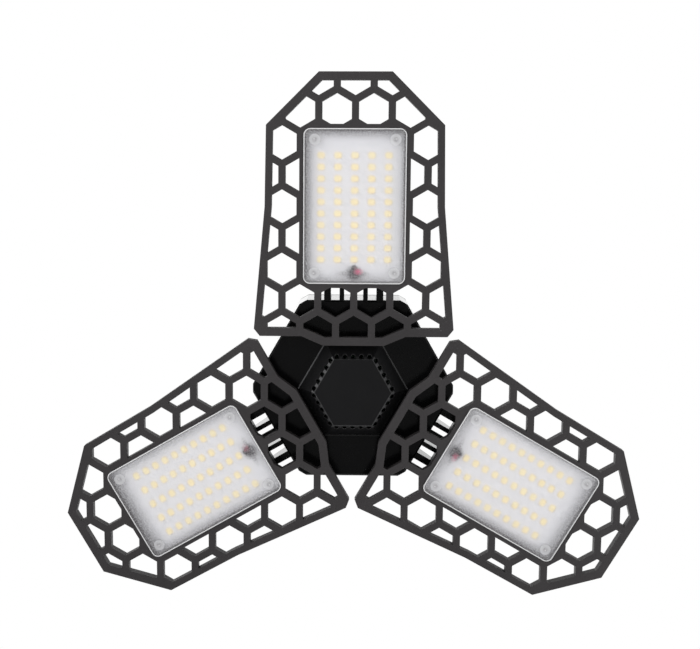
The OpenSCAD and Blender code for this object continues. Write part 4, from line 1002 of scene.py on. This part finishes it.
# Glass insulator and soldered contact: profiles of (radius, height) turned round the axis
def makeTip():
    steps, axis = 64, 0.0005
    glass = [(axis, -7.8), (11.2, -7.8), (11.2, -4.9), (10.9, -4.5), (9.6, -3.6), (7.6, -2.2), (6.3, -1.45),
             (5.6, -1.2), (axis, -1.2)]
    tin = [(axis, -1.25), (4.8, -1.25), (4.8, -0.75), (4.5, -0.38), (3.6, -0.12), (2.4, -0.02), (axis, 0.0)]
    tips = (("glassInsulator", "base_insulator", glass, "insulatorGlass", "insulator"),
            ("contactButton", "centre_contact", tin, "contactTin", "contact"))
    for name, node, profile, finish, slot in tips:
        piece = addMesh(name, turned(profile, steps) * mm, gridFaces(len(profile), steps).tolist(), sharp=50)
        dress(piece, finish)
        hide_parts(node)
        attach(piece, "hub")


makeHub()
makeShell()
makeTip()
print("hub and screw base made")

# The model's own nodes that stay as they are, with their finishes
kept = {
    "neck_screws": "zincSteel", "lead_grommets": "rubberBlack", "driver_board": "driverGreen",
    "board_screws": "zincSteel", "transformer": "tapeYellow", "capacitors": "sleeveDark",
    "film_capacitor": "filmOrange", "rectifier": "sleeveDark", "choke": "copperWire", "fuse": "fuseGlass",
    "lead_plugs": "plugWhite", "supply_leads": "wireWhite",
}
for k in leaves:
    kept[f"lens_gasket_{k}"] = "gasketWhite"
    kept[f"panel_grommet_{k}"] = "rubberBlack"
for node, finish in kept.items():
    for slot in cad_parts[node].material_slots:
        slot.material = finishes[finish]

studio = {"sky": 0.36, "floorZ": -1.02, "floorR": 3.2, "key": 4.6, "fill": 2.6, "back": 4.0}


# World: white to the camera and in reflections, dimmer as a light
def makeWorld():
    world = bpy.data.worlds.new("studioWhite")
    bpy.context.scene.world = world
    world.use_nodes = True
    tree = world.node_tree
    tree.nodes.clear()
    path = addNode(tree, "LightPath").outputs
    seen = [Wire(path[f"Is {kind} Ray"]) for kind in ("Camera", "Glossy", "Transmission")]
    strength = larger(larger(*seen[:2]), seen[2]) * (1 - studio["sky"]) + studio["sky"]
    light = addNode(tree, "Background", {"Color": (1, 1, 1, 1), "Strength": strength})
    tree.links.new(light.outputs[0], addNode(tree, "OutputWorld").inputs[0])


# Floor of the room, a disc well below the hanging lamp
def makeFloor():
    steps = 96
    points = turned([(studio["floorR"], studio["floorZ"])], steps)
    floor = addMesh("roomFloor", points, [list(range(steps))])
    made, shader, place = startMaterial("paleFloor")
    tree = made.node_tree
    join(mixColour(noise(place, 3.0, 3.0), (0.80, 0.80, 0.80, 1), (0.86, 0.86, 0.86, 1)), shader.inputs["Base Color"])
    shader.inputs["Roughness"].default_value = 0.9
    seen = Wire(addNode(tree, "LightPath").outputs["Is Camera Ray"])
    glow = addNode(tree, "Emission", {"Color": (0.96, 0.96, 0.96, 1), "Strength": 1.0})
    mix = addNode(tree, "MixShader", {0: seen * 0.7, 1: Wire(shader.outputs[0]), 2: Wire(glow.outputs[0])})
    tree.links.new(mix.outputs[0], tree.nodes["Material Output"].inputs[0])
    floor.data.materials.append(made)


def addLight(name, place, size, power):
    data = bpy.data.lights.new(name, "AREA")
    data.size, data.energy = size, power
    made = bpy.data.objects.new(name, data)
    bpy.context.scene.collection.objects.link(made)
    made.location = place
    made.rotation_mode = "QUATERNION"
    made.rotation_quaternion = (Vector((0, 0.02, -0.1)) - Vector(place)).to_track_quat("-Z", "Y")
    made.visible_camera = False


makeWorld()
makeFloor()
addLight("keyLight", (0.55, 0.45, -0.72), 0.6, studio["key"])
addLight("fillLight", (-0.65, -0.1, -0.62), 0.6, studio["fill"])
addLight("backLight", (0.2, -0.3, 1.0), 1.2, studio["back"])
bpy.context.scene.view_settings.view_transform = "Standard"
print("studio made")
